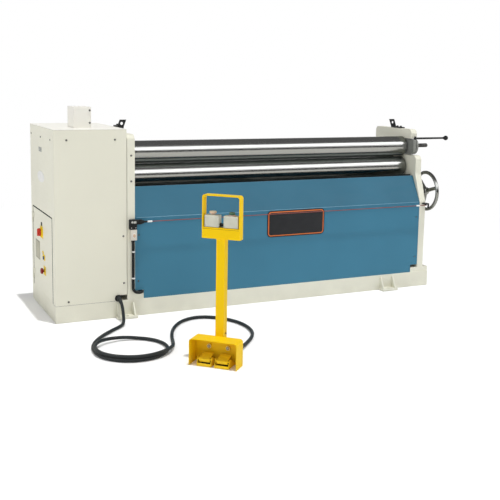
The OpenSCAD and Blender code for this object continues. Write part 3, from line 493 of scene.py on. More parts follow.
addFinishes(sprayedPaint, (
    "Colour", "Edge Colour", "Drift", "Gloss", "Dust", "Slope Shade", "Wear Width", "shine"), {
    "creamPaint": ("cream_paint", (0.79, 0.780, 0.66), (0.87, 0.865, 0.80),
                   0.02, 0.36, 0.10, 0.0, 0.0015, 0.4),
    # painted light: a paler copy of the cream paint for the lid and guard box, lit from above
    "creamPaintPaintedLight": ("cream_paint", (0.855, 0.840, 0.775), (0.88, 0.87, 0.82),
                       0.02, 0.36, 0.05, 0.0, 0.0015, 0.4),
    # the blue's pale edge colour is partly wear and partly a painted highlight along its edges and
    # bends
    "bluePaint": ("blue_paint", (0.050, 0.200, 0.308), (0.48, 0.74, 0.88),
                  # painted shade on the blue's faces that look up
                  0.05, 0.38, 0.01, 0.46, 0.003, 0.25),
    # painted shade on the yellow's faces that look up
    "yellowPaint": ("yellow_paint", (0.95, 0.62, 0.004), (0.96, 0.72, 0.05),
                    0.03, 0.34, 0.02, 0.18, 0.0015, 0.10),
})
addFinishes(cutSteel, (
    "Colour", "Line Scale", "Line Depth", "Gloss", "Stain", "metallic", "bump", "edgeRound"), {
    "groundRoll": ("roll_steel", (0.56, 0.565, 0.55), (160, 3, 3), 0.01, 0.19, 0.03, 1, 0, 0),
    "machinedSteel": ("machined_steel", (0.26, 0.27, 0.25), (60, 60, 500),
                      0.10, 0.50, 0.1, 0.3, 0.04, 0.0008),
    "flangeSteel": ("machined_steel", (0.31, 0.32, 0.30), (60, 500, 60),
                    0.10, 0.42, 0.1, 0.4, 0.04, 0.0008),
    "zincSteel": ("zinc_steel", (0.52, 0.53, 0.54), (300, 300, 300),
                  0.15, 0.34, 0.15, 1, 0.04, 0.0008),
    "chromePlate": ("chrome", (0.44, 0.445, 0.43), (90, 90, 90), 0.04, 0.17, 0.05, 1, 0.04, 0.0008),
    "darkThread": ("machined_steel", (0.14, 0.14, 0.14), (500, 20, 20),
                   0.3, 0.38, 0.3, 1, 0.04, 0.0008),
})
# plastics and rubber
addFinishes(mouldedPlastic, ("Colour", "Grain Scale", "Gloss", "Wear", "shine"), {
    "blackOxide": ("blackened_steel", (0.014, 0.015, 0.016), 500, 0.42, 0.15, 0.35),
    "blackPlastic": ("black_plastic", (0.009, 0.011, 0.012), 900, 0.45, 0.1, 0.3),
    "greyPlastic": ("grey_plastic", (0.50, 0.51, 0.48), 900, 0.42, 0.2, 0.5),
    "creamPlastic": ("cream_plastic", (0.70, 0.66, 0.58), 900, 0.42, 0.2, 0.5),
    "redPlastic": ("red_plastic", (0.62, 0.035, 0.012), 300, 0.25, 0.1, 0.5),
    "darkRedPlastic": ("red_plastic", (0.24, 0.008, 0.008), 300, 0.28, 0.1, 0.5),
    "labelGrey": ("zinc_steel", (0.47, 0.45, 0.34), 200, 0.38, 0.2, 0.5),
    "yellowPlastic": ("yellow_plastic", (0.90, 0.64, 0.01), 300, 0.34, 0.1, 0.2),
    "tanPlastic": ("tan_plastic", (0.66, 0.47, 0.33), 300, 0.25, 0.1, 0.5),
    "greenPlastic": ("green_plastic", (0.06, 0.16, 0.09), 300, 0.25, 0.1, 0.5),
    # painted highlight for the front panel's bend
    "bendPaintedHighlight": ("blue_paint", (0.18, 0.37, 0.51), 900, 0.38, 0.0, 0.3),
    "wireSheath": ("wire_sheath", (0.22, 0.055, 0.045), 900, 0.35, 0.0, 0.5),
    "cableRubber": ("cable_rubber", (0.012, 0.016, 0.018), 1200, 0.45, 0.0, 0.4),
    "whitePlastic": ("cream_plastic", (0.80, 0.80, 0.78), 600, 0.35, 0.0, 0.5),
    "ivoryPlastic": ("tan_plastic", (0.86, 0.78, 0.62), 300, 0.30, 0.1, 0.5),
    "paleYellow": ("yellow_plastic", (0.90, 0.80, 0.32), 600, 0.35, 0.1, 0.3),
    # dark brown for small seams, and for painted shadow under the stand's shelf
    "seamShadowBrown": ("yellow_paint", (0.30, 0.17, 0.02), 600, 0.5, 0.0, 0.1),
    "matteBlack": ("black_plastic", (0.010, 0.014, 0.014), 600, 0.8, 0.0, 0.0),
    "boxGrey": ("grey_plastic", (0.60, 0.60, 0.50), 900, 0.40, 0.15, 0.5),
    "blueLens": ("black_plastic", (0.015, 0.03, 0.10), 100, 0.18, 0.0, 0.5),
    "pinkPlastic": ("tan_plastic", (0.56, 0.44, 0.40), 300, 0.30, 0.1, 0.5),
}, bump=0.06)
# smooth enamel on the bare plate
addFinishes(mouldedPlastic, ("Colour", "Grain Scale", "Gloss", "Wear", "shine"), {
    "charcoalEnamel": ("black_plastic", (0.026, 0.027, 0.030), 200, 0.35, 0.0, 0.2),
    "orangeEnamel": ("red_plastic", (0.70, 0.15, 0.02), 200, 0.30, 0.1, 0.5),
}, bump=0.0)
print("finishes made:", len(finishes))

# cream paint is on every CAD node that isn't named here
nodeFinish = {
    # the lid and guard box take the paler cream, which paints on the light from above
    "creamPaintPaintedLight": "cabinet_lid guard_box",
    "bluePaint": "front_panel rear_panel",
    "yellowPaint": "pedestal_hood pedestal_post control_bracket pedal_bases pedal_left pedal_right",
    "groundRoll": "top_roll pinch_roll bending_roll",
    "machinedSteel": "swing_bearing_block",
    "zincSteel": "mounting_plate door_label_plate",
    "chromePlate": "handwheel",
    "blackOxide": "release_lever lifting_lugs wire_brackets",
    "blackPlastic": "trip_switch_head switch_conduit cable_glands",
    "boxGrey": "control_boxes",
    "creamPlastic": "trip_switch_box",
    "whitePlastic": "conduit_clips",
    "redPlastic": "main_switch_handle emergency_stop_head",
    "yellowPlastic": "door_plates door_buttons",
    "tanPlastic": "button_left",
    "greenPlastic": "button_right",
    "wireSheath": "trip_wire",
    "cableRubber": "control_cable",
}
finishOf = {node: finish for finish, nodes in nodeFinish.items() for node in nodes.split()}
for node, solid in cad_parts.items():
    solid.data.materials.clear()
    solid.data.materials.append(finishes[finishOf.get(node, "creamPaint")])

# Control cable. It leaves the cabinet, winds one and a half turns on the floor and
# comes round to the stand, and it starts and ends in a tapered boot.

def controlCable():
    cable = {"diameter": 18, "length": 3.981, "loopRadius": 185, "loopMiddle": (245, -610),
             "floor": 9.3, "stacked": 27.9, "sides": 20, "perSpan": 7}
    floor, stacked, radius = cable["floor"], cable["stacked"], cable["loopRadius"]
    # the loop's points are 20 degrees apart from its left, the last ones resting on the first turn
    k = np.arange(19)
    a = np.radians(180 + 20 * k)
    x, y = cable["loopMiddle"]
    loop = np.stack([x + radius * np.cos(a), y + radius * np.sin(a),
                     floor + (stacked - floor) * np.clip((k - 12) / 4, 0, 1)], axis=-1)
    # elsewhere a point without a height lies on the floor
    start = [(357, -14, 113), (357, -49, 106.7), (357, -78, 88.5), (356, -98, 61.2),
             (353, -117, 33.8), (346, -146, 15.6), (331, -176), (309, -205), (276, -236),
             (228, -278), (178, -330), (132, -388), (92, -453), (66, -528)]
    rest = [(70, -674, stacked), (112, -741, stacked), (182, -786, stacked), (258, -799, stacked),
            (338, -779, stacked), (408, -728, stacked), (452, -660, floor + 8), (478, -582),
            (509, -470), (554, -364), (626, -258), (708, -200), (785, -192), (850, -228),
            (912, -298), (946, -380), (956, -465), (944, -563), (904, -646), (852, -712),
            (796, -776, 12), (738, -842, 20), (690, -898, 28)]
    route = (np.array([(*point, floor)[:3] for point in (*start, *loop, *rest)]) / 1000
             + machineCorner)
    path = splineCurve([*route, onStand(46, 102, 30)], cable["perSpan"])
    laid = makePiece("controlCable",
                     [tube("cableRubber", path, cable["diameter"] / 2, cable["sides"])],
                     node="control_cable")
    return path


def cableGlands(path):
    gland = {"nut": 15.5, "collar": 13, "bootStart": 12.6, "bootEnd": 9.7, "boot": 42, "rings": 15}
    nut, collar, rings = gland["nut"], gland["collar"], gland["rings"]
    # the boot tapers along the cable's own curve, with a small rib every third ring
    taper = (np.linspace(gland["bootStart"], gland["bootEnd"], rings)
             + 0.5 * (np.arange(rings) % 3 == 1))
    steps = np.linspace(0.4, gland["boot"], rings)
    parts = []
    for run, place, outward, back in ((path, onMachine(357, 0, 113), toFront, 20),
                                      (path[::-1], onStand(46, 88, 30), behind, 0)):
        reach = np.cumsum([0, *1000 * np.linalg.norm(np.diff(run, axis=0), axis=1)])
        line = np.stack([np.interp(steps, reach, run[:, axis]) for axis in range(3)], axis=-1)
        flange = [(-back, 12), (0.2, 12), (0.2, 19), (4.2, 20), (5, 19), (5, 15)]
        sixSided = [(4, nut), (4.6, nut + 0.9), (11, nut + 0.9), (11.8, nut)]
        parts += [tube("cableRubber", line, taper, 20),
                  turned("blackPlastic", flange, place, outward, 40),
                  turned("blackPlastic", sixSided, place, outward, 6),
                  turned("blackPlastic", [(11, collar), (13, collar), (14.2, 11.8)],
                         place, outward, 32)]
    makePiece("cableGlands", parts, node="cable_glands")


cableGlands(controlCable())
print("cable laid")

# Rolls. Each one is a profile of (place along the machine, radius).

def sphereProfile(radius, low, high, rows, middle=0.0):
    # on a sphere the radius at height h is sqrt(R^2 - h^2)
    h = np.linspace(low, high, rows)
    return [*zip(middle + h, np.sqrt(np.maximum(radius**2 - h**2, 0.0)))]


def rolls():
    roll = {"radius": 65, "chamfer": 3, "left": 465, "right": 2428, "sides": 256}
    r, c, right, sides = roll["radius"], roll["chamfer"], roll["right"], roll["sides"]

    def barrel(left, neck):
        return [(left, neck), (left, r - c), (left + c, r),
                (right - c, r), (right, r - c), (right, neck)]

    top = [*sphereProfile(50, -21, 21, 15, 434.5), (455.5, 36), *barrel(475, 36)[1:-1],
           (right, 38), (2434, 38), (2435, 32), (2469, 32), (2469, 13.3)]
    thread = [(x, 13.4 - 1.2 * (n % 2)) for n, x in enumerate(np.arange(2508, 2636, 1.5))]
    tail = [(2468, 13.3), (2506, 13.3), (2507, 12.4), *thread, (2637, 12.2), (2639.5, 10)]
    nut = [(2482, 19), (2483, 21), (2497, 21), (2498, 19)]
    place = onMachine(0, 230, 930)
    makePiece("topRoll", [
        turned("groundRoll", top, place, toRight, sides),
        turned("darkThread", tail, place, toRight, 32),
        turned("darkThread", nut, place, toRight, 6),
        turned("zincSteel", [(2480.5, 24), (2482.2, 24)], place, toRight, 32),
    ], "top_roll", "top_roll")
    journals = [(422, 33), (424, 35), *barrel(roll["left"], 35), (2469, 35), (2471, 33)]
    for name, y, z, body, node in (("pinchRoll", 230, 794, "pinch_roll", "pinch_roll"),
                                   ("bendingRoll", 375, 820, "root", "bending_roll")):
        makePiece(name, [turned("groundRoll", journals, onMachine(0, y, z), toRight, sides)],
                  body, node)


def bearingBlock():
    # a bored block, a dark joint and an outer plate, all on the outline of the slot
    block = {"front": 104, "back": 292, "low": 879.5, "high": 980.5}
    front, back, low, high = block.values()
    corners = [(front, low), (back, low), (back, high), (front, high)]
    inner = roundedOutline(corners, (40, 3, 3, 10), 9)
    outer = roundedOutline(corners, (46, 3, 3, 34), 11)
    origin = onMachine(0, 0, 0)
    bolt = [(2479, 6.5), (2483.5, 6.5), (2485, 5.4), (2485, 3.2), (2482, 3)]
    spots = [onMachine(0, y, z) for y, z in ((128, 960), (128, 905), (275, 965), (275, 895))]
    makePiece("bearingBlock", [
        slab("machinedSteel", inner, [(2437.5, 1.6), (2439, 0), (2460, 0), (2461, 1)],
             origin, toRight),
        slab("matteBlack", inner, [(2459.5, 5), (2467, 5)], origin, toRight),
        slab("flangeSteel", outer, [(2466, 0.8), (2467, 0), (2477, 0), (2479.5, 2.4)],
             origin, toRight),
        turned("blackOxide", bolt, spots, toRight, 16),
    ], "swing_bearing", "swing_bearing_block")


def releaseLever():
    lever = {"rod": 6.8, "knob": 16.2, "reach": 253.2, "pivot": (2458.5, 117), "height": 987.5}
    reach = lever["reach"]
    hub = [(980.5, 9.6), (981.5, 10), (993, 10), (994.4, 8.6), (994.4, 6.5), (999, 6.5),
           (1000, 5.4)]
    arm = onMachine(*lever["pivot"], lever["height"])
    rod = [(0, lever["rod"]), (60, lever["rod"]), (reach - 30, 6.2), (reach - 12, 6.2)]
    knob = [(reach - 22, 5.5), (reach - 21, 8.2), (reach - 13, 8.2),
            *sphereProfile(lever["knob"], -13.4, 16.19, 17, reach)]
    makePiece("releaseLever", [
        turned("blackOxide", hub, onMachine(*lever["pivot"], 0), up, 24),
        turned("blackOxide", rod, arm, toRight, 16),
        turned("blackPlastic", knob, arm, toRight, 32),
    ], "release_lever", "release_lever")


def handwheel():
    wheel = {"rim": 125, "section": 11.8, "spokes": (74, 194, 314), "centre": (2545, 90, 632)}
    centre = onMachine(*wheel["centre"])
    t = np.radians(np.arange(0, 360, 15) - 90)
    rim = np.stack([wheel["section"] * np.sin(t), wheel["rim"] + wheel["section"] * np.cos(t)],
                   axis=1)
    spoke = [(14, 15), (24, 14.6), (34, 13.4), (70, 12.6), (96, 12.4), (106, 12.2), (112, 11.6),
             (117, 11)]
    hub = [(-22, 20), (-20.5, 22), (-12, 23), (-10, 24), (9, 24), (11, 23), (15.5, 20),
           (15.5, 15.5), (16, 15), (16, 9)]
    makePiece("handwheel", [
        turned("chromePlate", rim, centre, toRight, 96, hoop=True),
        *(turned("chromePlate", spoke, centre, (0, -math.sin(angle), math.cos(angle)), 24)
          for angle in np.radians(wheel["spokes"])),
        turned("chromePlate", hub, centre, toRight),
        turned("zincSteel", [(15, 9.5), (15.8, 10.4), (23, 10.4), (23.8, 9.5)], centre, toRight, 6),
        turned("darkThread", [(-91, 14.5), (-90, 15), (-21, 15)], centre, toRight, 40),
    ], "handwheel", "handwheel")


rolls()
bearingBlock()
releaseLever()
handwheel()
print("rolls and hand controls made")

# Screws, bolts and welds

def screwHeads(name, finish, spots, outward, size):
    # round heads with a deep socket: size is the head's diameter
    head = np.array([(0, 0.5), (0.16, 0.5), (0.3, 0.4), (0.34, 0.26), (0.34, 0.2), (0.12, 0.17)])
    places = [onMachine(*spot) for spot in spots]
    makePiece(name, [turned(finish, head * size, places, outward, 14)])


def weldBead(start, end, width, seed):
    # a bead whose radius ripples along its length: r (1 + 0.14 sin + a little noise)
    start, end = onMachine(*start), onMachine(*end)
    count = max(int(1000 * np.linalg.norm(end - start) / 1.6), 8)
    n = np.arange(count)
    ripple = 0.14 * np.sin(n * 2.1) + 0.05 * np.random.default_rng(seed).normal(size=count)
    ends = np.clip(np.minimum(n, count - 1 - n) / 2, 0.25, 1)
    return tube("creamPaint", straight(start, end, count), width * (1 + ripple) * ends, 8)


def fasteners():
    screwHeads("coverScrews", "darkThread",
               [(71, 0, 1021), (342, 0, 1020), (389, 0, 471), (392, 0, 199), (73, 0, 117),
                (235, 130, 1177), (235, 130, 1107), (436, 0, 929), (436, 0, 783)], toFront, 11)
    screwHeads("sideScrews", "darkThread",
               [(0, 594, 1022), (0, 329, 1017), (0, 78, 1018)], toLeft, 10)
    screwHeads("panelScrews", "darkThread",
               [(483, 5, 471), (480, 5, 202), (2412, 5, 471), (2412, 5, 202)], toFront, 9)
    screwHeads("backScrews", "darkThread",
               [(x, 630, z) for x in (30, 380) for z in (150, 580, 1030)]
               + [(x, 562, z) for x in (480, 960, 1450, 1940, 2412) for z in (200, 470)],
               toBack, 10)
    # a bolt is a washer and a six-sided head with a slight dome, in widths of the head
    bolt = {"width": 13, "washer": [(0, 0.8), (0.1, 0.82), (0.14, 0.78)],
            "head": [(0.1, 0.54), (0.16, 0.58), (0.55, 0.58), (0.62, 0.5)],
            "spots": [(434.5, 262, 1085), (2458.5, 290, 1055), (2458.5, 330, 1055)]}
    spots = [onMachine(*spot) for spot in bolt["spots"]]
    makePiece("lugBolts", [
        turned("blackOxide", np.array(bolt[form]) * bolt["width"], spots, up, sides)
        for form, sides in (("washer", 20), ("head", 6))])
    screwHeads("bearingScrews", "blackOxide",
               [(2491, 90 + 30.5 * math.cos(a), 632 + 30.5 * math.sin(a))
                for a in np.radians((45, 135, 225, 315))], toRight, 8)
    beads = []
    for foot in (400, 2188):
        beads += [weldBead((foot + x, y, 14), (foot + x, y, 83), 2.6, n + y)
                  for n, x in enumerate((-49.5, -41.5, 41.5, 49.5)) for y in (0, 630)]
        beads += [weldBead((foot - 57, y, 12), (foot + 57, y, 12), 2.6, 50 + y) for y in (0, 630)]
    beads += [weldBead((left, 5, 97.5), (right, 5, 97.5), 2.2, seed)
              for left, right, seed in ((459, 508, 70), (2386, 2434, 71))]
    makePiece("footWelds", beads)


fasteners()
print("fasteners made")

# Cabinet and door

def cabinetDetails():
    details = {"oval": (90, 32), "ovalPlace": (0, 336, 787), "ventSlots": (935, 943, 951),
               "louvres": range(690, 930, 30)}
    oval, ovalPlace = ovalOutline(*details["oval"], 64), onMachine(*details["ovalPlace"])
    makePiece("cabinetDetails", [
        # the dark line where the covers stand on the base, and under the lid
        roundedBox("darkThread", (0.5, -0.25, 96.4), (341.5, 3, 97.7), 0.2),
        roundedBox("darkThread", (-0.25, 0.5, 96.4), (3, 61, 97.7), 0.2),
        roundedBox("labelGrey", (1, -0.2, 1074.4), (408, 3, 1075.2), 0.15),
        roundedBox("labelGrey", (-0.2, 1, 1074.4), (3, 629, 1075.2), 0.15),
        # a bare oval plate and a small grey vent on the side
        slab("whitePlastic", oval, [(-0.5, 0), (0.9, 0), (1.3, 0.5)], ovalPlace, toLeft),
        slab("whitePlastic", oval, [(1, 5), (1.7, 5), (1.9, 5.4)], ovalPlace, toLeft),
        roundedBox("greyPlastic", (-1.3, 306, 931), (0.5, 386, 958), 0.6),
        *(roundedBox("darkThread", (-1.6, 311, z), (-0.9, 381, z + 3), 0.3)
          for z in details["ventSlots"]),
        # a folded lip round the foot of the guard box, in the guard box's paler, painted-light
        # cream
        roundedBox("creamPaintPaintedLight", (143, 128, 1078), (245, 282, 1080.5), 1.1),
        # the panel's bend: a paler blue strip along its whole length, a painted highlight
        roundedBox("bendPaintedHighlight", (468, 4.4, 569.4), (2427.5, 7, 572.6), 0.8),
        # painted shadow: a matte black strip on the front panel's top flange, under the rolls,
        # standing in for their shade
        roundedBox("matteBlack", (467.5, 95.6, 739.6), (2428, 119.5, 741), 0.4),
        roundedBox("matteBlack", (467.5, 111, 740.4), (2428, 119.5, 748), 1.5),
        # louvres in the back cover: half-round ridges
        *(roundedBox("creamPaint", (110, 629, z), (300, 635, z + 12), 2.9)
          for z in details["louvres"]),
    ])


def electricalDoor():
    door = {"front": 62, "back": 585, "high": 586, "seal": 5.4, "switch": (340, 461),
            "stop": (270, 245), "lenses": ((314, 335, "whitePlastic"), (274, 320, "blueLens"))}
    y0, y1, high, w = door["front"] - 4, door["back"], door["high"] + 2, door["seal"]
    makePiece("doorSeal", [roundedBox("matteBlack", (-0.4, *low), (17, *top), 0.8) for low, top in (
        ((y0, 99), (y0 + 4 + w, high)), ((y1 - w, 99), (y1 + 2, high)),
        ((y0, high - 2 - w), (y1 + 2, high)))])

    def plate(finish, y, z, half, edge, front=-2):
        return roundedBox(finish, (front, y - half, z - half), (0.5, y + half, z + half), edge)

    switchY, switchZ = door["switch"]
    switch, stop = onMachine(0, *door["switch"]), onMachine(0, *door["stop"])
    corners = [onMachine(0, switchY + y, switchZ + z) for y in (-29, 29) for z in (-29, 29)]
    makePiece("doorPlates", [
        plate("yellowPlastic", switchY, switchZ, 35, 0.9),
        turned("yellowPlastic", [(1.5, 31), (6.5, 31.4), (8, 30), (8, 24)], switch, toLeft),
        plate("yellowPlastic", *door["stop"], 26, 0.9),
        turned("yellowPlastic", [(1.5, 15), (4.4, 15), (5, 14.2), (5, 8)], stop, toLeft, 32),
        turned("zincSteel", [(1.5, 3.4), (2.6, 3.2), (3.2, 2), (3.2, 1.2), (2.4, 1)],
               corners, toLeft, 12),
    ], "electrical_door", "door_plates")

    # the switch: a ribbed disc with a tapered grip across it
    disc = roundRings([(8.3, 21), (8.8, 22.6), (13, 23.2), (14.4, 22.4), (14.8, 20)], 72)
    disc[1:4, :, :2] *= (1 - 0.035 * (np.arange(72) % 6 < 2))[None, :, None]
    grip = roundedOutline([(-7, -23), (7, -23), (5.6, 23), (-5.6, 23)], 5)
    makePiece("mainSwitchHandle", [
        (ringSurface(disc, [(switch, axesFor(toLeft))]), "redPlastic"),
        slab("redPlastic", grip, [(14, 0), (24.5, 1), (26.6, 2.2), (27.4, 4)], switch, toLeft),
        turned("blackPlastic", [(2.5, 4.9), (9, 4.9)], switch, toLeft, 20),
    ], "main_switch", "main_switch_handle")

    head = [(-9, 6.9), (11, 6.9), (11.2, 13.4), (12.2, 15.8), (14, 17.2), (17, 17.4), (20, 16.8),
            (23, 14.4), (25, 10.4), (26, 6)]
    makePiece("emergencyStopHead", [turned("darkRedPlastic", head, stop, toLeft, 40)],
              "emergency_stop", "emergency_stop_head")

    buttons = []
    for y, z, lens in door["lenses"]:
        place = onMachine(0, y, z)
        buttons += [plate("yellowPlastic", y, z, 17, 0.7, -1.6),
                    turned("yellowPlastic", [(1, 14.6), (2.6, 14.2), (3.4, 12.6), (3.4, 11)],
                           place, toLeft, 32),
                    turned(lens, [(2, 10.6), (8, 10.6), (8.8, 9.8), (9, 7)], place, toLeft, 28)]
    makePiece("doorButtons", buttons, "electrical_door", "door_buttons")

    makePiece("doorLabelPlate", [
        roundedBox("labelGrey", (-1, 398, 282), (0.4, 516, 394), 0.6),
        roundedBox("darkThread", (-1.25, 402, 286), (-0.5, 512, 390), 0.3),
        roundedBox("labelGrey", (-1.4, 404, 288), (-0.5, 510, 388), 0.3),
        turned("zincSteel", [(0.8, 1.8), (1.6, 1.4)],
               [onMachine(0, y, z) for y in (401, 513) for z in (285, 391)], toLeft, 10),
    ], "electrical_door", "door_label_plate")
    makePiece("doorLock", [
        roundedBox("blackPlastic", (-3.5, 330, 499), (0.5, 350, 519), 1.2),
        turned("zincSteel", [(3, 5.4), (4.2, 5.2), (4.2, 3.4), (3.6, 3)],
               onMachine(0, 340, 509), toLeft, 16),
    ], "electrical_door")


def switchgear():
    # rails on the mounting plate with rows of stepped modules, each (width, depth, finish),
    # and slotted ducts between them
    gear = {"face": 215.3, "ducts": (370, 245, 520), "rows": {
        430: [(44, 74, "greyPlastic"), (44, 74, "greyPlastic"), (36, 66, "blackPlastic"),
              (54, 60, "creamPlastic"), (70, 52, "greyPlastic")],
        300: [(46, 80, "blackPlastic")] * 3 + [(60, 64, "greyPlastic")],
        180: [(90, 100, "blackPlastic"), (120, 40, "creamPlastic"), (60, 40, "greyPlastic")]}}
    face, screw = gear["face"], [(-0.5, 3), (1, 3), (1.4, 2.2), (0.6, 1.6)]
    parts = []
    for z, modules in gear["rows"].items():
        parts.append(roundedBox("zincSteel", (face - 8, 100, z), (face + 0.5, 545, z + 35), 1.5))
        y = 118
        for width, deep, finish in modules:
            front, end = face - deep, y + width
            screws = [onMachine(front, y + width * k, z + h)
                      for k in (0.25, 0.5, 0.75) for h in (-15, 49)]
            parts += [roundedBox(finish, (front, y, z - 22), (face - 7, end, z + 56), 2),
                      roundedBox(finish, (front - 12, y + 3, z), (front + 2, end - 3, z + 34), 2),
                      turned("zincSteel", screw, screws, toLeft, 10)]
            y = end + 7
    parts += [roundedBox("greyPlastic", (face - 42, 95, z), (face + 0.5, 550, z + 26), 1.6)
              for z in gear["ducts"]]
    makePiece("switchgear", parts)


def namePlate():
    # a bare plate: charcoal, with a thin orange border set in from its edge
    plate = {"wide": 402, "high": 164, "middle": (1502, 5, 485), "corner": 26}
    half = (plate["wide"] / 2, plate["high"] / 2)
    corners = np.array([(-1, -1), (1, -1), (1, 1), (-1, 1)]) * half
    outline = roundedOutline(corners, plate["corner"], 10)
    makePiece("blankPlate", [slab(finish, outline, layers, onMachine(*plate["middle"]), toFront)
                             for finish, layers in (
        ("charcoalEnamel", [(-0.5, 0), (2.2, 0), (2.8, 0.6)]),
        ("orangeEnamel", [(2, 6), (3.3, 6), (3.5, 6.3)]),
        ("charcoalEnamel", [(2, 12), (3.7, 12), (3.9, 12.3)]))])


# Trip wire and its switch

def tripWire():
    trip = {"wire": (0, -14, 550), "sleeves": ((528, 556, 5.4), (2396, 2424, 5)),
            "ties": (220, 375), "lens": (7.5, 10.5)}
    onWire = onMachine(*trip["wire"])
    boot = [(461, 14), (463, 15), (470, 15), (471, 12.4), (474, 12.4), (475, 14.6), (492, 14.2),
            (497, 11), (505, 9.5)]
    screw = [(0, 3.2), (1.2, 3), (1.2, 1.6), (0.6, 1.4)]
    makePiece("tripSwitch", [
        roundedBox("blackPlastic", (420, -26, 509), (462, 0, 566), 3.5),
        roundedBox("blackPlastic", (423, -28, 513), (459, -24, 562), 1.6),
        turned("blackPlastic", boot, onWire, toRight, 28),
        turned("blackPlastic", [(504, 6), (518, 6), (524, 4.4)], onWire, toRight, 20),
        turned("greyPlastic", [(0, 6), (1.2, 6), (1.8, 5)],
               onMachine(433, -27.6, 552), toFront, 20),
        roundedBox("greyPlastic", (441, -29, 545), (457, -27, 557), 0.9),
        turned("zincSteel", screw, [onMachine(x, -27.7, 520) for x in (428, 454)], toFront, 12),
        roundedBox("blackPlastic", (474, -29, 556), (490, -20, 566), 2),
    ], node="trip_switch_head")
    oval = ovalOutline(*trip["lens"], 28)
    makePiece("tripBox", [
        roundedBox("creamPlastic", (426, -27, 447), (462, 0, 509), 3),
        roundedBox("creamPlastic", (428, -28, 449.5), (460, -25, 506.5), 1.4),
        slab("tanPlastic", oval, [(0, 0), (6.4, 0), (7.6, 1.2)],
             onMachine(444, -27.5, 475), toFront),
        slab("whitePlastic", oval * 1.35, [(0, 0), (1.6, 0), (2.2, 0.6)],
             onMachine(444, -27.8, 475), toFront),
    ], node="trip_switch_box")
    makePiece("wireSleeves", [
        turned("whitePlastic", [(left, 3.4), (left + 1, r), (right - 1, r), (right, 3.4)],
               onWire, toRight, 20) for left, right, r in trip["sleeves"]])
    # flat bands round the conduit, each with its head at the front
    makePiece("conduitTies", [roundedBox("whitePlastic", *band) for z in trip["ties"] for band in (
        ((434.6, -18.6, z), (453.4, -0.2, z + 8), 2.6),
        ((440, -22, z - 0.5), (448, -17, z + 8.5), 1.4))], node="conduit_clips")
    makePiece("conduitNut", [turned("blackPlastic", [(0, 10.4), (0.8, 11), (9, 11), (10, 10.4)],
                                    onMachine(444, -9, 436), up, 6)])


# Foot-control stand. Its buttons and its pedals are this far to each side of the post
buttonSpread, pedalSpread = 49, 46


def controlBoxes():
    box = {"half": 37, "deep": 19, "low": 664, "high": 723}
    half, low, high = box["half"], box["low"], box["high"]
    front, back = postFromHood - box["deep"], postFromHood + box["deep"]
    # the ring round each button: heights above the box, with radii
    rings = {-1: ("boxGrey", [(-1, 14), (1.2, 14), (1.8, 13.4), (1.8, 9.5)]),
             1: ("pinkPlastic", [(-1, 17.6), (4, 18), (5.6, 17.2), (6, 16.4), (3, 16)])}
    parts = []
    for side, (finish, ring) in rings.items():
        x = side * buttonSpread
        screws = [onStand(x + a, front - 0.8, low + b) for b in (8, 50) for a in (-30, 30)]
        parts += [
            roundedBox("boxGrey", (x - half, front, low + 1.2), (x + half, back, high), 3.2,
                       standFrame),
            roundedBox("boxGrey", (x - half + 2, front - 0.8, low + 3.4),
                       (x + half - 2, front + 2, high - 2.6), 0.9, standFrame),
            turned(finish, ring, onStand(x, postFromHood, high), up, 40),
            turned("zincSteel", [(0, 2.6), (1, 2.5), (1, 1.5), (0.5, 1.2)], screws, -behind, 10)]
    link = [(0, 9), (8, 9), (8.2, 7), (17.8, 7), (18, 9), (26, 9)]
    parts.append(turned("blackPlastic", link, onStand(-13, postFromHood, 677), across, 24))
    makePiece("controlBoxes", parts, node="control_boxes")


def pushButtons():
    # the left cap is wider all round
    for side, name, cap, rim, wide in ((-1, "left", "tanPlastic", "ivoryPlastic", 2.6),
                                       (1, "right", "greenPlastic", "greenPlastic", 0)):
        place = onStand(side * buttonSpread, postFromHood, 0)
        makePiece(name + "Button", [
            turned(cap, [(705, 8), (730, 8), (730.4, 13 + wide), (732, 14.6 + wide),
                         (737, 15 + wide), (738.4, 14.6 + wide)], place, up, 40),
            turned(rim, [(737, 14.7 + wide), (739.6, 14.2 + wide), (740.8, 12.6 + wide),
                         (741, 10), (740.4, 6)], place, up, 36),
        ], name + "_button", "button_" + name)


def pedals():
    pedal = {"rise": 17, "hinge": (16, 34), "half": 28, "long": 52, "ribs": (9, 19, 29, 39)}
    half, long = pedal["half"], pedal["long"]
    c, s = math.cos(math.radians(pedal["rise"])), math.sin(math.radians(pedal["rise"]))
    axes = np.array([across, c * behind + s * up, c * up - s * behind])
    tread = roundedOutline([(-half, -3), (half, -3), (half, long), (-half, long)], 6)
    # a rib is thick in its middle: 1.3 sin(pi s)^0.3, with s from 0.12 to 0.88
    thick = 1.3 * np.sin(np.pi * np.linspace(0.12, 0.88, 9))**0.3
    for side, name in ((-1, "left"), (1, "right")):
        place = onStand(side * pedalSpread, *pedal["hinge"])
        ribs = [np.array([[-21, y, 5.6], [21, y, 5.6]]) / 1000 @ axes + place
                for y in pedal["ribs"]]
        makePiece(name + "Pedal", [
            slab("yellowPaint", tread, [(1.6, 1.2), (2.2, 0), (5, 0), (6, 1.2)], place, axes),
            roundedBox("yellowPaint", (-half, -8, -13), (half, -3, 5.6), 2, (place, axes)),
            turned("yellowPaint", [(-37, 3.4), (-36.4, 4), (36.4, 4), (37, 3.4)],
                   place, across, 24),
            *(tube("yellowPaint", straight(*rib, 9), thick, 10) for rib in ribs),
        ], name + "_pedal", "pedal_" + name)


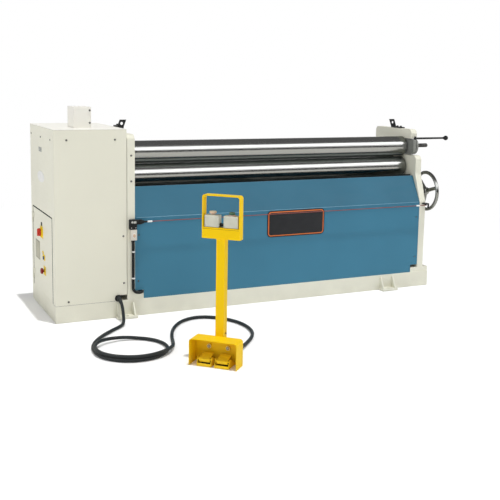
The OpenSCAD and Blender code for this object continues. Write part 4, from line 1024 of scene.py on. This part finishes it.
def standDetails():
    stand = {"fixing": (77.2, 80), "weld": ((-21.5, 131), (-21.5, 88), (21.5, 88), (21.5, 131)),
             "weldHeight": 609.4, "weldRings": 26}
    parts = []
    for side in (-1, 1):
        # a ringed fixing on the hood's back wall
        fixing, x = onStand(side * buttonSpread, *stand["fixing"]), side * pedalSpread
        parts += [turned("paleYellow", [(0, 11.4), (1.2, 11.2), (1.6, 10.4)], fixing, -behind, 32),
                  turned("seamShadowBrown", [(1, 8.2), (1.9, 7.8)], fixing, -behind, 24),
                  turned("zincSteel", [(1.4, 5.2), (4.4, 5.2), (5, 4.4), (5, 2.6), (3.4, 2.4)],
                         fixing, -behind, 20),
                  # the switch under each pedal
                  roundedBox("blackPlastic", (x - 24, 30, 3), (x + 24, 82, 22), 2.5, standFrame),
                  roundedBox("yellowPaint", (x - 33, 4.2, 2), (x + 33, 7, 15), 1, standFrame)]
    parts += [turned("seamShadowBrown", [(0, 4.4), (4, 4.4), (5, 3.6)],
                     onStand(21.5, 112, 143), across, 20),
              # where the shelf is folded over the front plate: a dark brown line, partly the seam
              # and partly painted shadow under the lip
              roundedBox("seamShadowBrown", (-92, 89.1, 656.4), (92, 90.2, 658), 0.3, standFrame)]
    # a weld round three sides of the post, under the shelf
    corners = [onStand(*corner, stand["weldHeight"]) for corner in stand["weld"]]
    rings = stand["weldRings"]
    ripple = 1.9 + 0.25 * np.sin(np.arange(rings) * 2.3)
    parts += [tube("yellowPaint", straight(corners[k], corners[k + 1], rings), ripple, 8)
              for k in (1, 2, 0)]
    makePiece("standDetails", parts)


cabinetDetails()
electricalDoor()
switchgear()
namePlate()
tripWire()
print("cabinet and trip wire dressed")
controlBoxes()
pushButtons()
pedals()
standDetails()
print("stand dressed")

# Floor, light and background
white = (1, 1, 1, 1)


def card(name, low, high, glow):
    # a flat grey card that only polished metal sees, so that it has dark bands to reflect
    paint, tree = emptyMaterial(name)
    shade = remap(tree, noiseOf(tree, 0.6), 0.3, 0.7, glow * 0.94, glow * 1.06)
    light = addNode(tree, "Emission", in_Color=white, in_Strength=shade)
    addNode(tree, "OutputMaterial", in_0=light.outputs[0])
    points = [low, (high[0], *low[1:]), high, (low[0], *high[1:])]
    flag = makeMesh(name, points, [[0, 1, 2, 3]], [], [paint])
    for ray in ("camera", "diffuse", "transmission", "volume_scatter", "shadow"):
        setattr(flag, "visible_" + ray, False)


def addLamp(name, kind, power, aim):
    lamp = bpy.data.lights.new(name, kind)
    lamp.energy = power
    holder = bpy.data.objects.new(name, lamp)
    holder.rotation_euler = Vector(aim).to_track_quat("Z", "Y").to_euler()
    bpy.context.scene.collection.objects.link(holder)
    return lamp, holder


def mixedShaders(tree, factor, first, second):
    mixed = addNode(tree, "MixShader", in_0=factor, in_1=first.outputs[0], in_2=second.outputs[0])
    return mixed.outputs[0]


def setStage():
    stage = {"size": 60.0, "drop": -0.0015, "sky": 0.38, "floorGlow": 0.05, "fade": (1.9, 4.2),
             "reflected": (0.64, 0.63, 0.59),
             "sunAim": (0.074, -0.11, 1.0), "sunPower": 2.15, "sunSoftness": 1.2,
             "lamps": [
                 # place, aimed at, width, height, power
                 ((2.0, -5.6, 4.6), (0.4, 0, 0.9), 9.0, 2.6, 112),
                 ((-6.0, -1.0, 3.4), (0, 0, 0.7), 4.0, 3.0, 82),
             ],
             "cards": [
                 # low corner, high corner, glow: overhead and behind, then low in front
                 ((-14, -2.75, 4.6), (16, 14, 4.6), 0.13),
                 ((-14, -7, 0.02), (18, -7, 2.4), 0.05),
             ]}
    world = bpy.data.worlds.new("studio")
    bpy.context.scene.world = world
    world.use_nodes = True
    tree = world.node_tree
    tree.nodes.clear()
    seen = addNode(tree, "LightPath").outputs
    shown = maths(tree, "MAXIMUM", seen["Is Camera Ray"], seen["Is Glossy Ray"])
    shown = maths(tree, "MAXIMUM", shown, seen["Is Transmission Ray"])
    plain, bright = (addNode(tree, "Background", in_Color=white, in_Strength=strength)
                     for strength in (stage["sky"], 1.0))
    addNode(tree, "OutputWorld", in_0=mixedShaders(tree, shown, plain, bright))

    # the floor is pale paint that glows a little to the camera, is greyer to polished metal,
    # and fades to plain white far off
    paint, tree = emptyMaterial("floorPaint")
    grain = remap(tree, noiseOf(tree, 3.0), 0.0, 1.0, 0.86, 0.90)
    seen = addNode(tree, "LightPath").outputs
    toCamera = seen["Is Camera Ray"]
    dimmed = [times(tree, grain, remap(tree, seen["Is Glossy Ray"], 0.0, 1.0, 1.0, tint))
              for tint in stage["reflected"]]
    tone = addNode(tree, "CombineXYZ", in_0=dimmed[0], in_1=dimmed[1], in_2=dimmed[2])
    shader = addNode(tree, "BsdfPrincipled", in_Base_Color=tone.outputs[0], in_Roughness=0.9,
                     in_Emission_Color=white,
                     in_Emission_Strength=times(tree, toCamera, stage["floorGlow"]))
    far = addNode(tree, "VectorMath", operation="LENGTH", in_0=onObject(tree)).outputs["Value"]
    fade = addNode(tree, "MapRange", interpolation_type="SMOOTHSTEP", in_0=far,
                   in_1=stage["fade"][0], in_2=stage["fade"][1]).outputs[0]
    plainWhite = addNode(tree, "Emission", in_Color=white, in_Strength=1.0)
    faded = mixedShaders(tree, times(tree, fade, toCamera), shader, plainWhite)
    addNode(tree, "OutputMaterial", in_0=faded)
    steps = np.linspace(-0.5, 0.5, 5) * stage["size"]
    x, y = np.meshgrid(steps, steps)
    points = np.stack([x, y, 0 * x + stage["drop"]], axis=-1).reshape(-1, 3)
    i = (np.arange(4)[:, None] * 5 + np.arange(4)[None, :]).ravel()
    makeMesh("floor", points, np.stack([i, i + 1, i + 6, i + 5], axis=-1), [], [paint])

    for number, (place, target, width, height, power) in enumerate(stage["lamps"]):
        lamp, holder = addLamp(f"softLamp{number}", "AREA", power, Vector(place) - Vector(target))
        lamp.shape = "RECTANGLE"
        lamp.size, lamp.size_y = width, height
        holder.location = place
    # a nearly upright sun leaves a narrow shadow beside the base; polished steel doesn't see it
    sun, holder = addLamp("highSun", "SUN", stage["sunPower"], stage["sunAim"])
    sun.angle = math.radians(stage["sunSoftness"])
    holder.visible_glossy = False
    for number, (low, high, glow) in enumerate(stage["cards"]):
        card(f"greyCard{number}", low, high, glow)


setStage()
bpy.context.scene.view_settings.view_transform = "Standard"
print("stage set")
